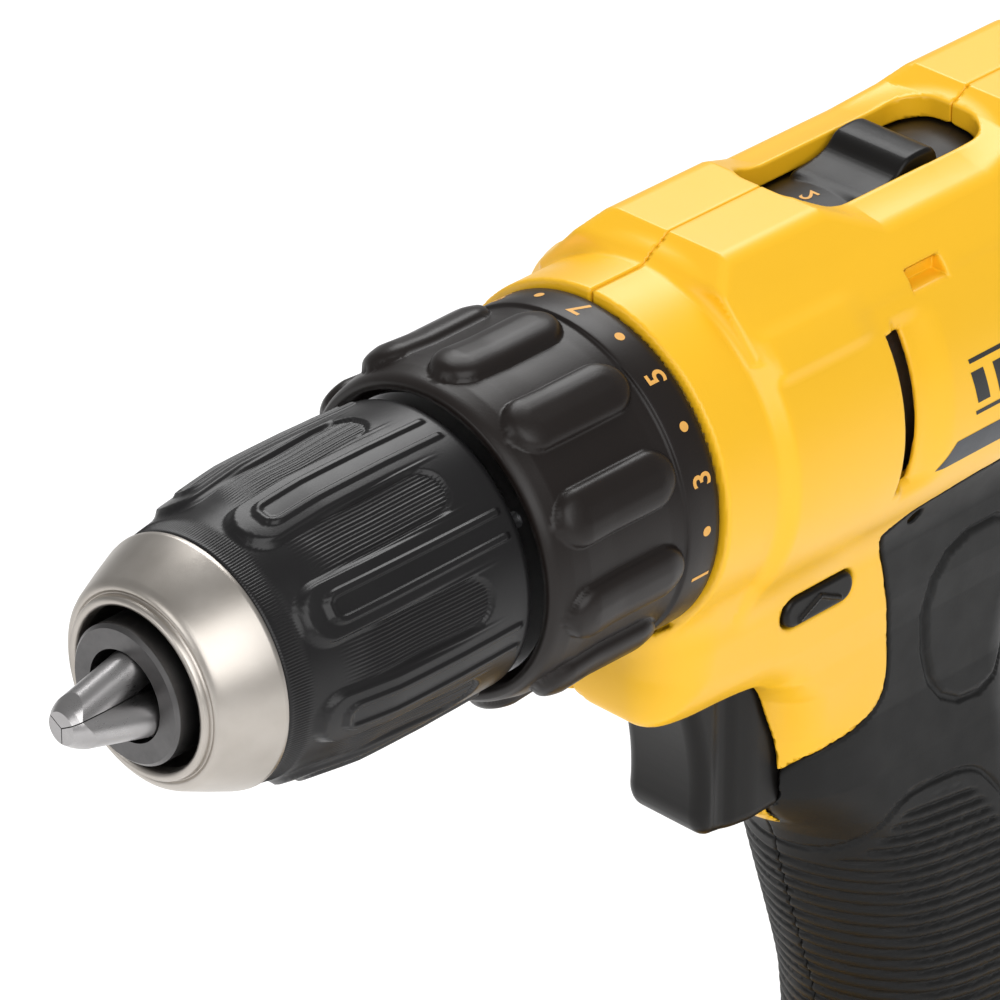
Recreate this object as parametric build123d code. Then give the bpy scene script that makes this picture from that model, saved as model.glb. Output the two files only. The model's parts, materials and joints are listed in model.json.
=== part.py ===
from build123d import *
import os
from math import cos, pi, radians, sin, tan

# Cordless drill driver with keyless chuck, torque clutch, two-speed planetary gearbox,
# brushed motor, trigger handle and slide-on battery.
# Everything is built about the spindle axis: +X runs forward out of the chuck, +Z is up, +Y is the
# drill's left, and x = 0 is the rear face of the clutch collar. save() then moves each piece so that
# the drill stands on its battery, with the origin under the middle of its length.

# Overall
JAW_TIP_X = 98.7
REAR_X = -127.3
AXIS_HEIGHT = 194.0
MID_X = (JAW_TIP_X + REAR_X) / 2

# Housing
BARREL_R = 28.0
RUBBER = 2.0
WALL = 4.5
MOTOR_BAY_R = 24.6
GEAR_BAY_R = 24.0
REAR_WALL_X = -119.5
WINDOW_FRONT_X, WINDOW_REAR_X, WINDOW_HALF = -34.8, -74.8, 8.0
FOOT_BOTTOM = -150.7

# Gearbox: teeth and modules, first stage rearmost
MODULE_A, MODULE_B = 0.8, 0.95
RING_A, SUN_1, PLANET_1 = 42, 12, 15
SUN_2, PLANET_2 = 18, 12
RING_B, SUN_3, PLANET_3 = 36, 18, 9
CASE_IN, CASE_OUT = 20.0, 21.8

# Motor
CAN_R = 21.0
CAN_FRONT_X, CAN_REAR_X = -51.0, -110.0
MOTOR_SHAFT_R = 2.5

# Chuck: three jaws slide in bores that meet on the axis in front of the tips
JAW_ANGLE = 15.5
JAW_R = 3.0
JAW_APEX_X = 99.7
JAW_LENGTH = 36.0
BODY_FRONT_X = 87.5
SLEEVE_BORE = 19.8
NUT_SEAT = 18.2

# Clutch
SNOUT_R = 17.0
COLLAR_R = 25.3
LOBES = 11
PIN_CIRCLE = 18.4

# Battery: five cells side by side
BATTERY_FRONT_X, BATTERY_REAR_X = -16.0, -124.0
BATTERY_HALF = 37.0
BATTERY_BOTTOM, BATTERY_SEAM, BATTERY_TOP = -194.0, -170.0, -151.0
BATTERY_WALL = 2.4
CELL_R, CELL_LENGTH, CELL_PITCH = 9.1, 65.0, 18.7

# Section list of the neck and handle: (z, front x, rear x, half width, corner radius)
HANDLE = [
    (-12.0, -1.0, -86.0, 18.0, 9.0),
    (-26.0, 1.5, -80.0, 18.5, 9.0),
    (-34.0, 2.9, -77.5, 17.6, 9.0),
    (-37.5, 1.0, -77.0, 17.0, 9.0),
    (-39.3, -5.0, -76.7, 16.8, 9.0),
    (-41.0, -21.0, -76.5, 16.5, 9.5),
    (-46.0, -26.0, -76.5, 16.0, 10.0),
    (-50.0, -26.8, -77.0, 15.5, 11.0),
    (-60.0, -27.0, -78.0, 15.5, 11.5),
    (-66.0, -28.5, -79.0, 15.5, 12.0),
    (-72.0, -33.0, -80.5, 16.0, 12.5),
    (-76.0, -38.0, -81.3, 16.2, 12.5),
    (-85.0, -41.0, -83.3, 16.5, 13.0),
    (-95.0, -44.0, -85.5, 16.5, 13.0),
    (-105.0, -47.5, -88.0, 16.8, 13.0),
    (-115.0, -50.5, -90.5, 17.0, 13.0),
    (-125.0, -51.8, -92.5, 17.2, 13.0),
    (-134.0, -52.5, -95.5, 18.0, 13.0),
    (-140.5, -40.0, -112.0, 28.0, 12.0),
    (-144.5, -31.0, -118.0, 31.0, 10.0),
    (FOOT_BOTTOM, -30.0, -118.5, 31.5, 10.0),
]

# Outline of the rubber in side view, seen from the drill's left
RUBBER_OUTLINE = [
    (-37.0, -15.5), (-42.0, -30.0), (-46.4, -42.0), (-47.0, -49.0), (-44.5, -54.0), (-36.0, -57.2),
    (-31.0, -60.0), (-30.2, -65.0), (-33.0, -70.0), (-37.0, -74.5), (-30.0, -79.0), (-14.0, -79.0),
    (-14.0, -136.5), (-126.0, -136.5), (-126.0, -15.5),
]

TRIGGER_OUTLINE = [
    (-36.5, -40.5), (-14.5, -40.5), (-13.2, -44.0), (-15.2, -50.0), (-16.0, -56.0), (-16.2, -61.0),
    (-16.2, -64.5), (-18.8, -67.4), (-24.0, -68.0), (-36.5, -67.6),
]

# Places of the housing screws in side view
SCREWS = [(-12.0, -31.5), (-68.0, -33.0), (-70.0, -76.0), (-55.3, -91.6), (-80.0, -108.0),
          (-48.0, -139.3), (-102.0, -139.3)]


def save(name, *solids):
    """Stand the piece in the drill's frame and write it to its own file."""
    placed = [Pos(-MID_X, 0, AXIS_HEIGHT) * solid for piece in solids for solid in piece.solids()]
    export_step(Compound(placed) if len(placed) > 1 else placed[0], f"parts/{name}.step")


def turned(*profile):
    """Solid turned about the spindle axis from (x, radius) points."""
    return revolve(Plane.XZ * make_face(Polyline(*profile, close=True)), Axis.X)


def bar(x0, x1, radius, hole=0.0, y=0.0, z=0.0):
    """Round bar or tube along X."""
    place = Pos((x0 + x1) / 2, y, z) * Rot(Y=90)
    solid = place * Cylinder(radius, x1 - x0)
    return solid - place * Cylinder(hole, x1 - x0) if hole else solid


def block(x0, x1, y0, y1, z0, z1):
    """Box from its limits along the three axes."""
    return Pos((x0 + x1) / 2, (y0 + y1) / 2, (z0 + z1) / 2) * Box(x1 - x0, y1 - y0, z1 - z0)


def prism(points, half_width):
    """Side-view outline given a width across the drill."""
    return extrude(Plane.XZ * make_face(Polyline(*points, close=True)), half_width, both=True)


def stadium(x, z, length, height, y0, y1):
    """Round-ended bar along Y; its section is length along X and height along Z."""
    middle = block(x - (length - height) / 2, x + (length - height) / 2, y0, y1, z - height / 2, z + height / 2)
    for side in (-1, 1):
        end = Pos(x + side * (length - height) / 2, (y0 + y1) / 2, z) * Rot(X=90) * Cylinder(height / 2, y1 - y0)
        middle += end
    return middle


def around(solid, count, start=0.0):
    """Copies of a solid spread evenly about the spindle axis."""
    return [Rot(X=start + 360 * i / count) * solid for i in range(count)]


def arc_bar(x0, x1, r_in, r_out, middle, half_angle):
    """Part of a ring about the spindle axis, centred on an angle from +Y towards +Z."""
    reach = 3 * r_out
    wedge = [(0, 0), (reach * cos(radians(half_angle)), reach * sin(radians(half_angle))),
             (reach * cos(radians(half_angle)), -reach * sin(radians(half_angle)))]
    sector = Pos(x0, 0, 0) * extrude(Plane.YZ * make_face(Polyline(*wedge, close=True)), x1 - x0)
    return bar(x0, x1, r_out, r_in) & Rot(X=middle) * sector


def column(inset=0.0, sections=HANDLE):
    """Neck, handle and foot as one lofted column, shrunk inwards by inset."""
    faces = []
    for z, front, rear, half, corner in sections:
        outline = RectangleRounded(front - rear - 2 * inset, 2 * (half - inset), corner - inset)
        faces.append(Pos((front + rear) / 2, 0, z) * outline)
    return loft(faces, ruled=True)


def barrel_form(radius):
    """Turned outside of the barrel, with its narrower front ring."""
    swell = radius - BARREL_R
    return turned((0, 0), (0, 26.4 + swell), (-11.5, 26.4 + swell), (-17, radius), (-112, radius),
                  (REAR_WALL_X, 26.6 + swell), (REAR_WALL_X, 0))


def top_humps():
    """Raised blocks in front of and behind the speed selector's window."""
    section = Polyline((-17.5, 18), (-17.5, 22.5), (-11, 29.8), (11, 29.8), (17.5, 22.5), (17.5, 18), close=True)
    shoulders = extrude(Pos(-108, 0, 0) * (Plane.YZ * make_face(section)), 97)
    front = [(-11.5, 18), (-11.5, 26.4), (-15.1, 29.8), (-35.5, 29.8), (-41, 26), (-41, 18)]
    rear = [(-72, 18), (-72, 26), (-78.3, 29.8), (-98, 29.8), (-106, 26), (-106, 18)]
    return [prism(outline, 20) & shoulders for outline in (front, rear)]


def housing_outside():
    """Whole outside of the housing with its rubber: barrel, humps, neck, handle and foot."""
    front, rear = top_humps()
    return barrel_form(BARREL_R) + front + rear + column()


def rubber_zone():
    """Everything inside the rubber's side outline."""
    return prism(RUBBER_OUTLINE, 45)


def housing_inside():
    """Room for the gearbox, the motor, the switch and the battery's head."""
    room = bar(-49, 0, GEAR_BAY_R) + bar(REAR_WALL_X + 2.5, -49, MOTOR_BAY_R)
    for x in (-104.0, -58.0):
        room -= bar(x, x + 3, MOTOR_BAY_R, CAN_R)
    room -= bar(-49, -46.5, GEAR_BAY_R, 22.6)
    neck = [section for section in HANDLE if section[0] > -30] + [(-33.0, 2.0, -77.5, 17.6, 9.0)]
    neck += [(-36.0, -25.0, -77.0, 17.0, 9.5)]
    room += column(WALL, neck + [section for section in HANDLE if -134.5 < section[0] < -45])
    room += arc_bar(-88, -28, 20.0, 25.2, 90, 26)
    room += block(-120, -30, -6, 6, -25, -19)
    return room


def battery_channel():
    """T-shaped way for the battery's head, open at the front of the foot."""
    wide = block(-116, -29, -19.9, 19.9, -147.5, -143.1)
    return wide + block(-116, -29, -16.4, 16.4, FOOT_BOTTOM - 1, -147.4)


def housing_openings():
    """Openings through the shell: selector window, trigger, reversing button, lamp and vents."""
    middle, length = (WINDOW_FRONT_X + WINDOW_REAR_X) / 2, WINDOW_FRONT_X - WINDOW_REAR_X
    cuts = [Pos(middle, 0, 27) * extrude(SlotOverall(length, 2 * WINDOW_HALF), 10, both=True)]
    cuts.append(extrude(Plane.YZ.offset(-46) * Pos(0, -54.6) * RectangleRounded(18.4, 28.0, 4.8), 40))
    cuts.append(stadium(-28, -27, 15.2, 5.4, -30, 30))
    cuts.append(lamp_bar(2.6, 20))
    cuts.append(bar(0, 10, 25.9))
    for middle in (6, 174):
        cuts.append(arc_bar(-37, -34.8, GEAR_BAY_R - 1, 32, middle, 26))
    for side in (-1, 1):
        cuts.append(block(-50, -43, side * 24 - 8, side * 24 + 8, 17.8, 20.3))
        for i in range(5):
            cuts.append(arc_bar(-114.5 + 4.5 * i, -112 + 4.5 * i, MOTOR_BAY_R - 1, 32, 90 - side * 72, 16))
    return cuts


def lamp_bar(radius, length):
    """Rod along the work lamp's line, which looks forward and down from under the collar."""
    return Pos(-0.6, 0, -37.2) * Rot(Y=130) * Cylinder(radius, length)


def screw_parts():
    """Bosses, clearance cuts and screws that hold the two halves of the housing together."""
    bosses, left_cuts, right_cuts, screws = [], [], [], []
    for x, z in SCREWS:
        across = Pos(x, 0, z) * Rot(X=90)
        bosses.append(across * Cylinder(3.6, 62))
        left_cuts.append(Pos(x, 4, z) * Rot(X=90) * Cylinder(1.5, 10))
        depth = -20 if z < -120 else -9
        right_cuts.append(Pos(x, -20, z) * Rot(X=90) * Cylinder(1.6, 40))
        right_cuts.append(Pos(x, depth - 20, z) * Rot(X=90) * Cylinder(3.3, 40))
        head = Pos(x, depth - 1.2, z) * Rot(X=90) * Cylinder(3.0, 2.4)
        shank = Pos(x, (depth + 9) / 2, z) * Rot(X=90) * Cylinder(1.5, 9 - depth)
        drive = Pos(x, depth - 2.4, z) * Rot(X=90) * extrude(RegularPolygon(1.3, 6), 1.4, both=True)
        screws.append(head + shank - drive)
    return bosses, left_cuts, right_cuts, screws


def make_housing():
    """Two shell halves, the rubber moulded over each, and the screws."""
    zone = rubber_zone()
    outside = housing_outside()
    core = barrel_form(BARREL_R - RUBBER) + column(RUBBER)
    bosses, left_cuts, right_cuts, screws = screw_parts()
    shell = (outside - zone) + (core & zone)
    hollow = shell - housing_inside()
    for boss in bosses:
        hollow += (boss & shell) - bar(REAR_WALL_X, 0, CAN_R + 0.4) - trigger_switch_form(0.4)
    rubber = (outside & zone) - core
    for cut in housing_openings() + [battery_channel()]:
        hollow -= cut
        rubber -= cut
    left_half = block(-140, 20, 0, 60, -170, 40)
    right_half = block(-140, 20, -60, 0, -170, 40)
    left, right = hollow & left_half, hollow & right_half
    grip_left, grip_right = rubber & left_half, rubber & right_half
    for cut in left_cuts:
        left -= cut
    for cut in right_cuts:
        right -= cut
        grip_right -= cut
    save("housing_left", biggest(left))
    save("housing_right", biggest(right))
    save("grip_left", biggest(grip_left))
    save("grip_right", biggest(grip_right))
    save("housing_screws", *screws)


def biggest(shape):
    """The main solid of a shape, without loose offcuts."""
    return max(shape.solids(), key=lambda solid: solid.volume)


def make_rear_cap():
    """Slotted plastic cap that closes the barrel behind the motor."""
    x = REAR_WALL_X
    cap = turned((x, 0), (x, 26.6), (x - 3, 25.8), (x - 5.5, 23.4), (x - 7.2, 19), (REAR_X, 14), (REAR_X, 0))
    cap -= turned((x, 0), (x, 23), (x - 3.2, 20), (x - 4.5, 13), (x - 4.5, 0))
    for vent in around(arc_bar(REAR_X - 1, x - 1, 9, 16, 0, 9), 8, 22.5):
        cap -= vent
    save("rear_cap", cap)


def gear_outline(teeth, module, tip, root, phase, fill):
    """Points of a spur gear: fill is the tooth's share of the pitch at the pitch circle."""
    pitch_angle = 2 * pi / teeth
    pitch_r = teeth * module / 2
    slope = tan(radians(20)) / pitch_r
    points = []
    for i in range(teeth):
        centre = phase + i * pitch_angle
        half = fill * pitch_angle / 2
        foot = half + (pitch_r - root) * slope
        crest = half - (tip - pitch_r) * slope
        for angle, radius in ((-foot, root), (-crest, tip), (crest, tip), (foot, root)):
            points.append((radius * cos(centre + angle), radius * sin(centre + angle)))
    return points


def gear(teeth, module, x0, x1, phase=0.0, hole=0.0, fill=0.42):
    """Spur gear on the spindle axis, with a tooth centred at phase from +Y."""
    pitch_r = teeth * module / 2
    outline = gear_outline(teeth, module, pitch_r + 0.8 * module, pitch_r - 1.1 * module, phase, fill)
    solid = extrude(Plane.YZ.offset(x0) * make_face(Polyline(*outline, close=True)), x1 - x0)
    return solid - bar(x0 - 1, x1 + 1, hole) if hole else solid


def ring_teeth(teeth, module, x0, x1, phase=0.0):
    """Space inside an internal gear, with a tooth of the ring centred at phase."""
    pitch_r = teeth * module / 2
    gap_phase = phase + pi / teeth
    outline = gear_outline(teeth, module, pitch_r + 1.1 * module, pitch_r - 0.8 * module, gap_phase, 0.58)
    return extrude(Plane.YZ.offset(x0) * make_face(Polyline(*outline, close=True)), x1 - x0)


def planet_set(sun, planet, module, x0, x1, hole):
    """Three planets in mesh with a sun that has a tooth on +Y, each at 120 degrees."""
    centre = (sun + planet) * module / 2
    solids = []
    for i in range(3):
        angle = 2 * pi * i / 3
        phase = angle + pi - (2 * pi / planet) * (0.5 - i * sun / 3)
        solids.append(Pos(0, centre * cos(angle), centre * sin(angle)) * gear(planet, module, x0, x1, phase, hole))
    return solids


def planet_pins(sun, planet, module, x0, x1, radius):
    centre = (sun + planet) * module / 2
    return around(bar(x0, x1, radius, y=centre), 3)


def make_gear_case():
    """Die-cast gear case and its rear cover, which the gearbox and clutch are built on."""
    x_rear = -46.5
    case = turned((x_rear, 0), (x_rear, CASE_OUT), (-3, CASE_OUT), (-3, GEAR_BAY_R), (0, GEAR_BAY_R),
                  (0, SNOUT_R), (28, SNOUT_R), (28, 0))
    case -= bar(x_rear, -5.3, CASE_IN)
    case -= bar(-6, 29, 8.05)
    case -= bar(20, 29, 14.0)
    lock_ring = bar(-19.9, -18.4, CASE_IN, 17.2)
    for notch in around(block(-21, -17, 16, 19.6, -1.4, 1.4), 12):
        lock_ring -= notch
    case += lock_ring
    for hole in around(bar(-6, 1, 1.5, y=PIN_CIRCLE), 6):
        case -= hole
    for angle in (0, 180):
        case -= Rot(X=angle) * block(-34.2, -24.0, 19, 23, -1.5, 1.5)
    save("gear_case", case)
    cover = bar(-49, x_rear, 22.6, 6.0)
    for vent in around(bar(-49.5, x_rear + 1, 2.2, y=14), 6, 30):
        cover -= vent
    save("gear_case_cover", cover)


def make_gears():
    """Three planetary stages: ring gears, planets, suns and carriers."""
    ring_phase_1 = pi * PLANET_1 / RING_A
    ring_phase_2 = pi * PLANET_2 / RING_A
    ring_phase_3 = pi * PLANET_3 / RING_B
    save("motor_pinion", gear(SUN_1, MODULE_A, -46.0, -39.0, 0, MOTOR_SHAFT_R))
    save("ring_gear_1", bar(-46.4, -38.8, CASE_IN) - ring_teeth(RING_A, MODULE_A, -47, -38, ring_phase_1))
    for name, planet in zip("abc", planet_set(SUN_1, PLANET_1, MODULE_A, -45.6, -39.2, 1.55)):
        save(f"planet_1{name}", planet)
    spline = gear(RING_A, MODULE_A, -38.2, -34.6, pi / RING_A + ring_phase_2, 0, 0.3)
    carrier = spline & bar(-38.2, -34.6, 17.2)
    carrier += gear(SUN_2, MODULE_A, -34.6, -26.3)
    for pin in planet_pins(SUN_1, PLANET_1, MODULE_A, -45.6, -38.2, 1.5):
        carrier += pin
    save("carrier_1", carrier)

    ring = bar(-38, -27, 19.4) - ring_teeth(RING_A, MODULE_A, -39, -26, ring_phase_2)
    ring -= bar(-34.1, -30.9, 19.5, 18.4)
    for dog in around(block(-27, -25.6, 17.0, 18.6, -0.9, 0.9), 12):
        ring += dog
    save("ring_gear_2", ring)
    save("planets_2", *planet_set(SUN_2, PLANET_2, MODULE_A, -33.9, -26.6, 1.5))
    carrier = bar(-26, -23.4, 14.3) + gear(SUN_3, MODULE_B, -23.4, -9.4)
    for pin in planet_pins(SUN_2, PLANET_2, MODULE_A, -33.9, -26, 1.5):
        carrier += pin
    save("carrier_2", carrier)

    ring = bar(-18.2, -8.6, CASE_IN) - ring_teeth(RING_B, MODULE_B, -19, -8, ring_phase_3)
    for cam in around(arc_bar(-8.6, -7.4, 18.3, CASE_IN, 30, 12), 6):
        ring += cam
    save("ring_gear_3", ring)
    for name, planet in zip("abc", planet_set(SUN_3, PLANET_3, MODULE_B, -17.8, -9.4, 1.35)):
        save(f"planet_3{name}", planet)


def make_spindle():
    """Output spindle and its bearing."""
    spindle = turned((-8.8, 0), (-8.8, 15.0), (-5.8, 15.0), (-5.8, 8.0), (20, 8.0), (20, 6.0), (28.2, 6.0),
                     (28.2, 7.5), (34.3, 7.5), (34.3, 6.35), (50, 6.35), (50, 0))
    for pin in planet_pins(SUN_3, PLANET_3, MODULE_B, -17.8, -8.8, 1.3):
        spindle += pin
    spindle -= bar(38, 51, 3.0)
    save("spindle", spindle)
    outer = bar(20, 28, 14.0, 11.6)
    inner = bar(20.1, 28, 8.4, 6.05)
    save("spindle_bearing", outer, inner, *around(Pos(24, 10, 0) * Sphere(1.5), 9))


def make_motor():
    """Brushed motor: can, magnets, armature, commutator, fan and brushes."""
    can = bar(CAN_REAR_X, CAN_FRONT_X, CAN_R) - bar(CAN_REAR_X, CAN_FRONT_X - 1.6, CAN_R - 1.5)
    can += bar(CAN_FRONT_X, -49, 6.0)
    can -= bar(CAN_FRONT_X - 3, -48, MOTOR_SHAFT_R + 0.05)
    for vent in around(bar(CAN_FRONT_X - 3, CAN_FRONT_X + 1, 2.4, y=13), 6, 30):
        can -= vent
    save("motor_can", can)
    save("motor_magnets", *[arc_bar(-104, -62, 16.6, CAN_R - 1.5, middle, 62) for middle in (90, 270)])
    save("motor_shaft", bar(-117, -39, MOTOR_SHAFT_R))
    core = bar(-99, -66, 15.9, MOTOR_SHAFT_R)
    slots = around(bar(-99, -66, 1.8, y=12.6), 10)
    mouths = around(block(-99, -66, 12.6, 17, -0.6, 0.6), 10)
    for cut in slots + mouths:
        core -= cut
    save("armature_core", core)
    winding = bar(-105.5, -99, 14.2, 5.5) + bar(-66, -61, 14.2, 5.5)
    for coil in around(bar(-99, -66, 1.7, y=12.6), 10):
        winding += coil
    save("armature_windings", winding)
    drum = bar(-114.8, -106.2, 5.4, MOTOR_SHAFT_R)
    for gap in around(block(-116, -107.5, 4.7, 6, -0.2, 0.2), 10):
        drum -= gap
    save("commutator", drum)
    fan = bar(-60.4, -54, 4.5, MOTOR_SHAFT_R) + bar(-60.4, -59.6, 15.5, 4)
    for blade in around(block(-59.6, -54.5, 6, 15.3, -0.5, 0.5), 9):
        fan += blade
    fan += bar(-59.6, -54, 6.2, 4)
    save("motor_fan", fan)
    end_cap = bar(-116.6, CAN_REAR_X, 20.0) - bar(-115.2, CAN_REAR_X, 16.0)
    end_cap += bar(CAN_REAR_X, CAN_REAR_X + 3, CAN_R - 1.5, 17)
    end_cap -= bar(-117, -115, MOTOR_SHAFT_R + 0.05)
    save("brush_holder", end_cap)
    brushes = [block(-113.5, -108.5, 5.45, 11.5, -2, 2), block(-113.5, -108.5, -11.5, -5.45, -2, 2)]
    boxes = [block(-115.2, -107.8, 11.5, 15.6, -3, 3), block(-115.2, -107.8, -15.6, -11.5, -3, 3)]
    save("motor_brushes", *brushes, *boxes)


def make_leads():
    """Two wires from the switch along the motor's underside to the brush holder."""
    solids = []
    for y in (-3.6, 3.6):
        route = FilletPolyline((-56, y, -40), (-56, y, -22.6), (-113.4, y, -22.6), (-113.4, y, -19.9), radius=2.2)
        solids.append(sweep(Plane(origin=(-56, y, -40), z_dir=(0, 0, 1)) * Circle(0.8), route))
    save("motor_leads", *solids)


def make_shift():
    """Speed selector plate with its thumb ridge, and the fork that moves the second ring gear."""
    plate = arc_bar(-76, -40, 22.95, 24.35, 90, 23)
    knob = prism([(-64, 23.4), (-62.4, 27.9), (-56.6, 27.9), (-54.4, 25.6), (-47, 23.9), (-47, 23.4)], 7)
    plate += knob - bar(-80, -40, 23.2)
    plate += arc_bar(-40, -33.4, 22.95, 23.6, 90, 8)
    save("speed_selector", plate)
    fork = bar(-33.4, -31.6, 23.6, 22.1) & block(-34, -31, -25, 25, -2.5, 25)
    for side in (-1, 1):
        pin = Pos(-32.5, side * 20.7, 0) * Rot(X=90) * Cylinder(0.8, 3.8)
        fork += pin
    save("shift_fork", fork)


def make_clutch():
    """Torque collar, adjusting nut, spring, washer and detent pins."""
    collar = turned((0.3, 21.7), (0.3, COLLAR_R), (6.3, COLLAR_R), (6.6, 24.5), (10, 24.5), (27, 23.7),
                    (30.7, 23.7), (31.5, 23.2), (31.5, 21.9), (27.8, 21.9), (27.8, 18.2), (26.2, 18.2), (26.2, 21.7))
    lobe = bar(11.6, 24.6, 3.9, y=23.0)
    for x in (11.6, 24.6):
        lobe += Pos(x, 23.0, 0) * Sphere(3.9)
    for bump in around(lobe, LOBES, 90):
        collar += bump - bar(0, 40, 23.0)
    for angle in (90, 270):
        collar -= Rot(X=angle) * block(3, 24, 20, 22.7, -2.3, 2.3)
    save("clutch_collar", collar)
    nut = bar(16, 21, 21.4, 17.06)
    for angle in (90, 270):
        nut += Rot(X=angle) * block(16, 21, 20, 22.4, -2.0, 2.0)
    save("clutch_nut", nut)
    save("clutch_spring", bar(2.6, 16, 20.7, 17.7))
    save("clutch_washer", bar(1.2, 2.6, 21.2, SNOUT_R))
    pin = bar(-5.7, -0.3, 1.5, y=PIN_CIRCLE)
    for x in (-5.7, -0.3):
        pin += Pos(x, PIN_CIRCLE, 0) * Sphere(1.5)
    save("clutch_pins", *around(pin, 6))
    plate = bar(28, 29.4, 20.8, 7.9)
    for screw in around(Pos(29, 17, 0) * Rot(Y=90) * Cylinder(1.2, 3), 3, 30):
        plate -= screw
    save("collar_retainer", plate)


def jaw_line(radius, start, end):
    """Round bar along a jaw's sliding line on the +Y side; distances run back from the apex."""
    back = Vector(-cos(radians(JAW_ANGLE)), sin(radians(JAW_ANGLE)), 0)
    middle = Vector(JAW_APEX_X, 0, 0) + back * ((start + end) / 2)
    return Plane(origin=middle, z_dir=back) * Cylinder(radius, end - start)


def make_chuck():
    """Keyless three-jaw chuck."""
    body = turned((34.3, 0), (34.3, 13), (36.3, 19.4), (36.8, 19.72), (39.3, 19.72), (39.8, 19.35), (52.6, 19.35),
                  (52.6, 12.6), (71, 12.6), (74, 10.1), (BODY_FRONT_X - 0.5, 10.1), (BODY_FRONT_X, 9.6),
                  (BODY_FRONT_X, 0))
    body -= bar(34, 50, 6.35) + bar(49, 56, 3.0) + bar(55, BODY_FRONT_X + 1, 6.7)
    for bore in around(jaw_line(JAW_R + 0.06, 8, 63.5), 3, 90):
        body -= bore
    save("chuck_body", body)

    reach = 40
    wedge = [(0.09, 0), (0.09 + reach * cos(radians(60)), reach * sin(radians(60))), (reach * 3, 0),
             (0.09 + reach * cos(radians(60)), -reach * sin(radians(60)))]
    sector = extrude(Plane.YZ.offset(50) * make_face(Polyline(*wedge, close=True)), 60)
    nib = turned((40, 0), (40, 60), (95.5, 4.4), (97.8, 3.1), (JAW_TIP_X, 2.4), (JAW_TIP_X, 0))
    jaw = jaw_line(JAW_R, -6, 1 + JAW_LENGTH) & sector & nib
    for name, placed in zip("123", around(jaw, 3, 90)):
        save(f"chuck_jaw_{name}", placed)

    def over_jaws(x):
        return (JAW_APEX_X - x) * tan(radians(JAW_ANGLE)) + JAW_R / cos(radians(JAW_ANGLE)) + 0.06

    nut = turned((55.2, over_jaws(55.2)), (55.2, NUT_SEAT), (64.4, NUT_SEAT), (64.4, over_jaws(64.4)))
    gap = block(50, 70, -30, 30, -0.1, 0.1)
    save("chuck_nut", *(nut - gap).solids())
    save("chuck_bearing", bar(54.3, 55.2, NUT_SEAT, 16.2), *around(Pos(53.48, 17.1, 0) * Sphere(0.82), 20))
    sleeve = turned((32.8, SLEEVE_BORE), (32.8, 20.7), (33.6, 21.4), (46, 21.3), (58, 20.6), (68, 19.4),
                    (75.1, 18.3), (75.1, 16.6), (67, 16.6), (67, NUT_SEAT), (54, NUT_SEAT), (53, SLEEVE_BORE))
    for panel in around(stadium_panel(), 8, 10.5):
        sleeve -= panel
    save("chuck_sleeve", sleeve)
    nose = turned((68, 15.2), (68, 16.6), (75.1, 16.6), (75.1, 18.4), (78, 17.7), (81, 16.6), (83.5, 15.2),
                  (85.0, 13.9), (85.5, 13.1), (85.5, 11.9), (84.6, 11.5), (83.6, 11.5), (83.0, 12.6), (76, 15.2))
    save("chuck_nose", nose)
    screw = bar(55, 59, 4.9) + bar(38, 55, 3.0)
    screw -= extrude(Plane.YZ.offset(57) * RegularPolygon(2.4, 6), 3)
    save("chuck_screw", screw)


def stadium_panel():
    """Shallow recess of one finger panel in the sleeve, on the +Y side."""
    return Pos(52.5, 21.2, 0) * Rot(X=90) * extrude(SlotOverall(25, 7.5), 0.7, both=True)


def trigger_switch_form(gap=0.0):
    return block(-68 - gap, -44 + gap, -9 - gap, 9 + gap, -68 - gap, -40 + gap)


def make_controls():
    """Trigger, switch, reversing button, lamp and battery terminals."""
    cross = extrude(Plane.YZ.offset(-45) * Pos(0, -54.6) * RectangleRounded(17.6, 27.2, 4.4), 40)
    trigger = prism(TRIGGER_OUTLINE, 12) & cross
    trigger += bar(-43.5, -36, 2.5, y=0, z=-57)
    save("trigger", trigger)
    switch = trigger_switch_form() - bar(-51, -43, 2.6, y=0, z=-57)
    save("trigger_switch", switch)
    save("reversing_button", stadium(-28, -27, 14.4, 4.8, -19.3, 19.3))
    lamp_line = Pos(-0.6, 0, -37.2) * Rot(Y=130)
    lens = lamp_line * Pos(0, 0, -2.6) * Cylinder(2.6, 6) - lamp_line * Pos(0, 0, 3.3) * Sphere(3.6)
    save("work_light", lens)
    base = block(-116, -112.6, -15, 15, -150, -143.4)
    for i in range(5):
        base += block(-112.7, -95, 6 * i - 12.4, 6 * i - 11.6, -148.4, -144.6)
    save("terminal_block", base)


def battery_box(inset, z0, z1):
    """Round-cornered slab of the battery's outline, shrunk by inset."""
    length = BATTERY_FRONT_X - BATTERY_REAR_X - 2 * inset
    outline = RectangleRounded(length, 2 * (BATTERY_HALF - inset), 11 - inset)
    return Pos((BATTERY_FRONT_X + BATTERY_REAR_X) / 2, 0, z0) * extrude(outline, z1 - z0)


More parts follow.
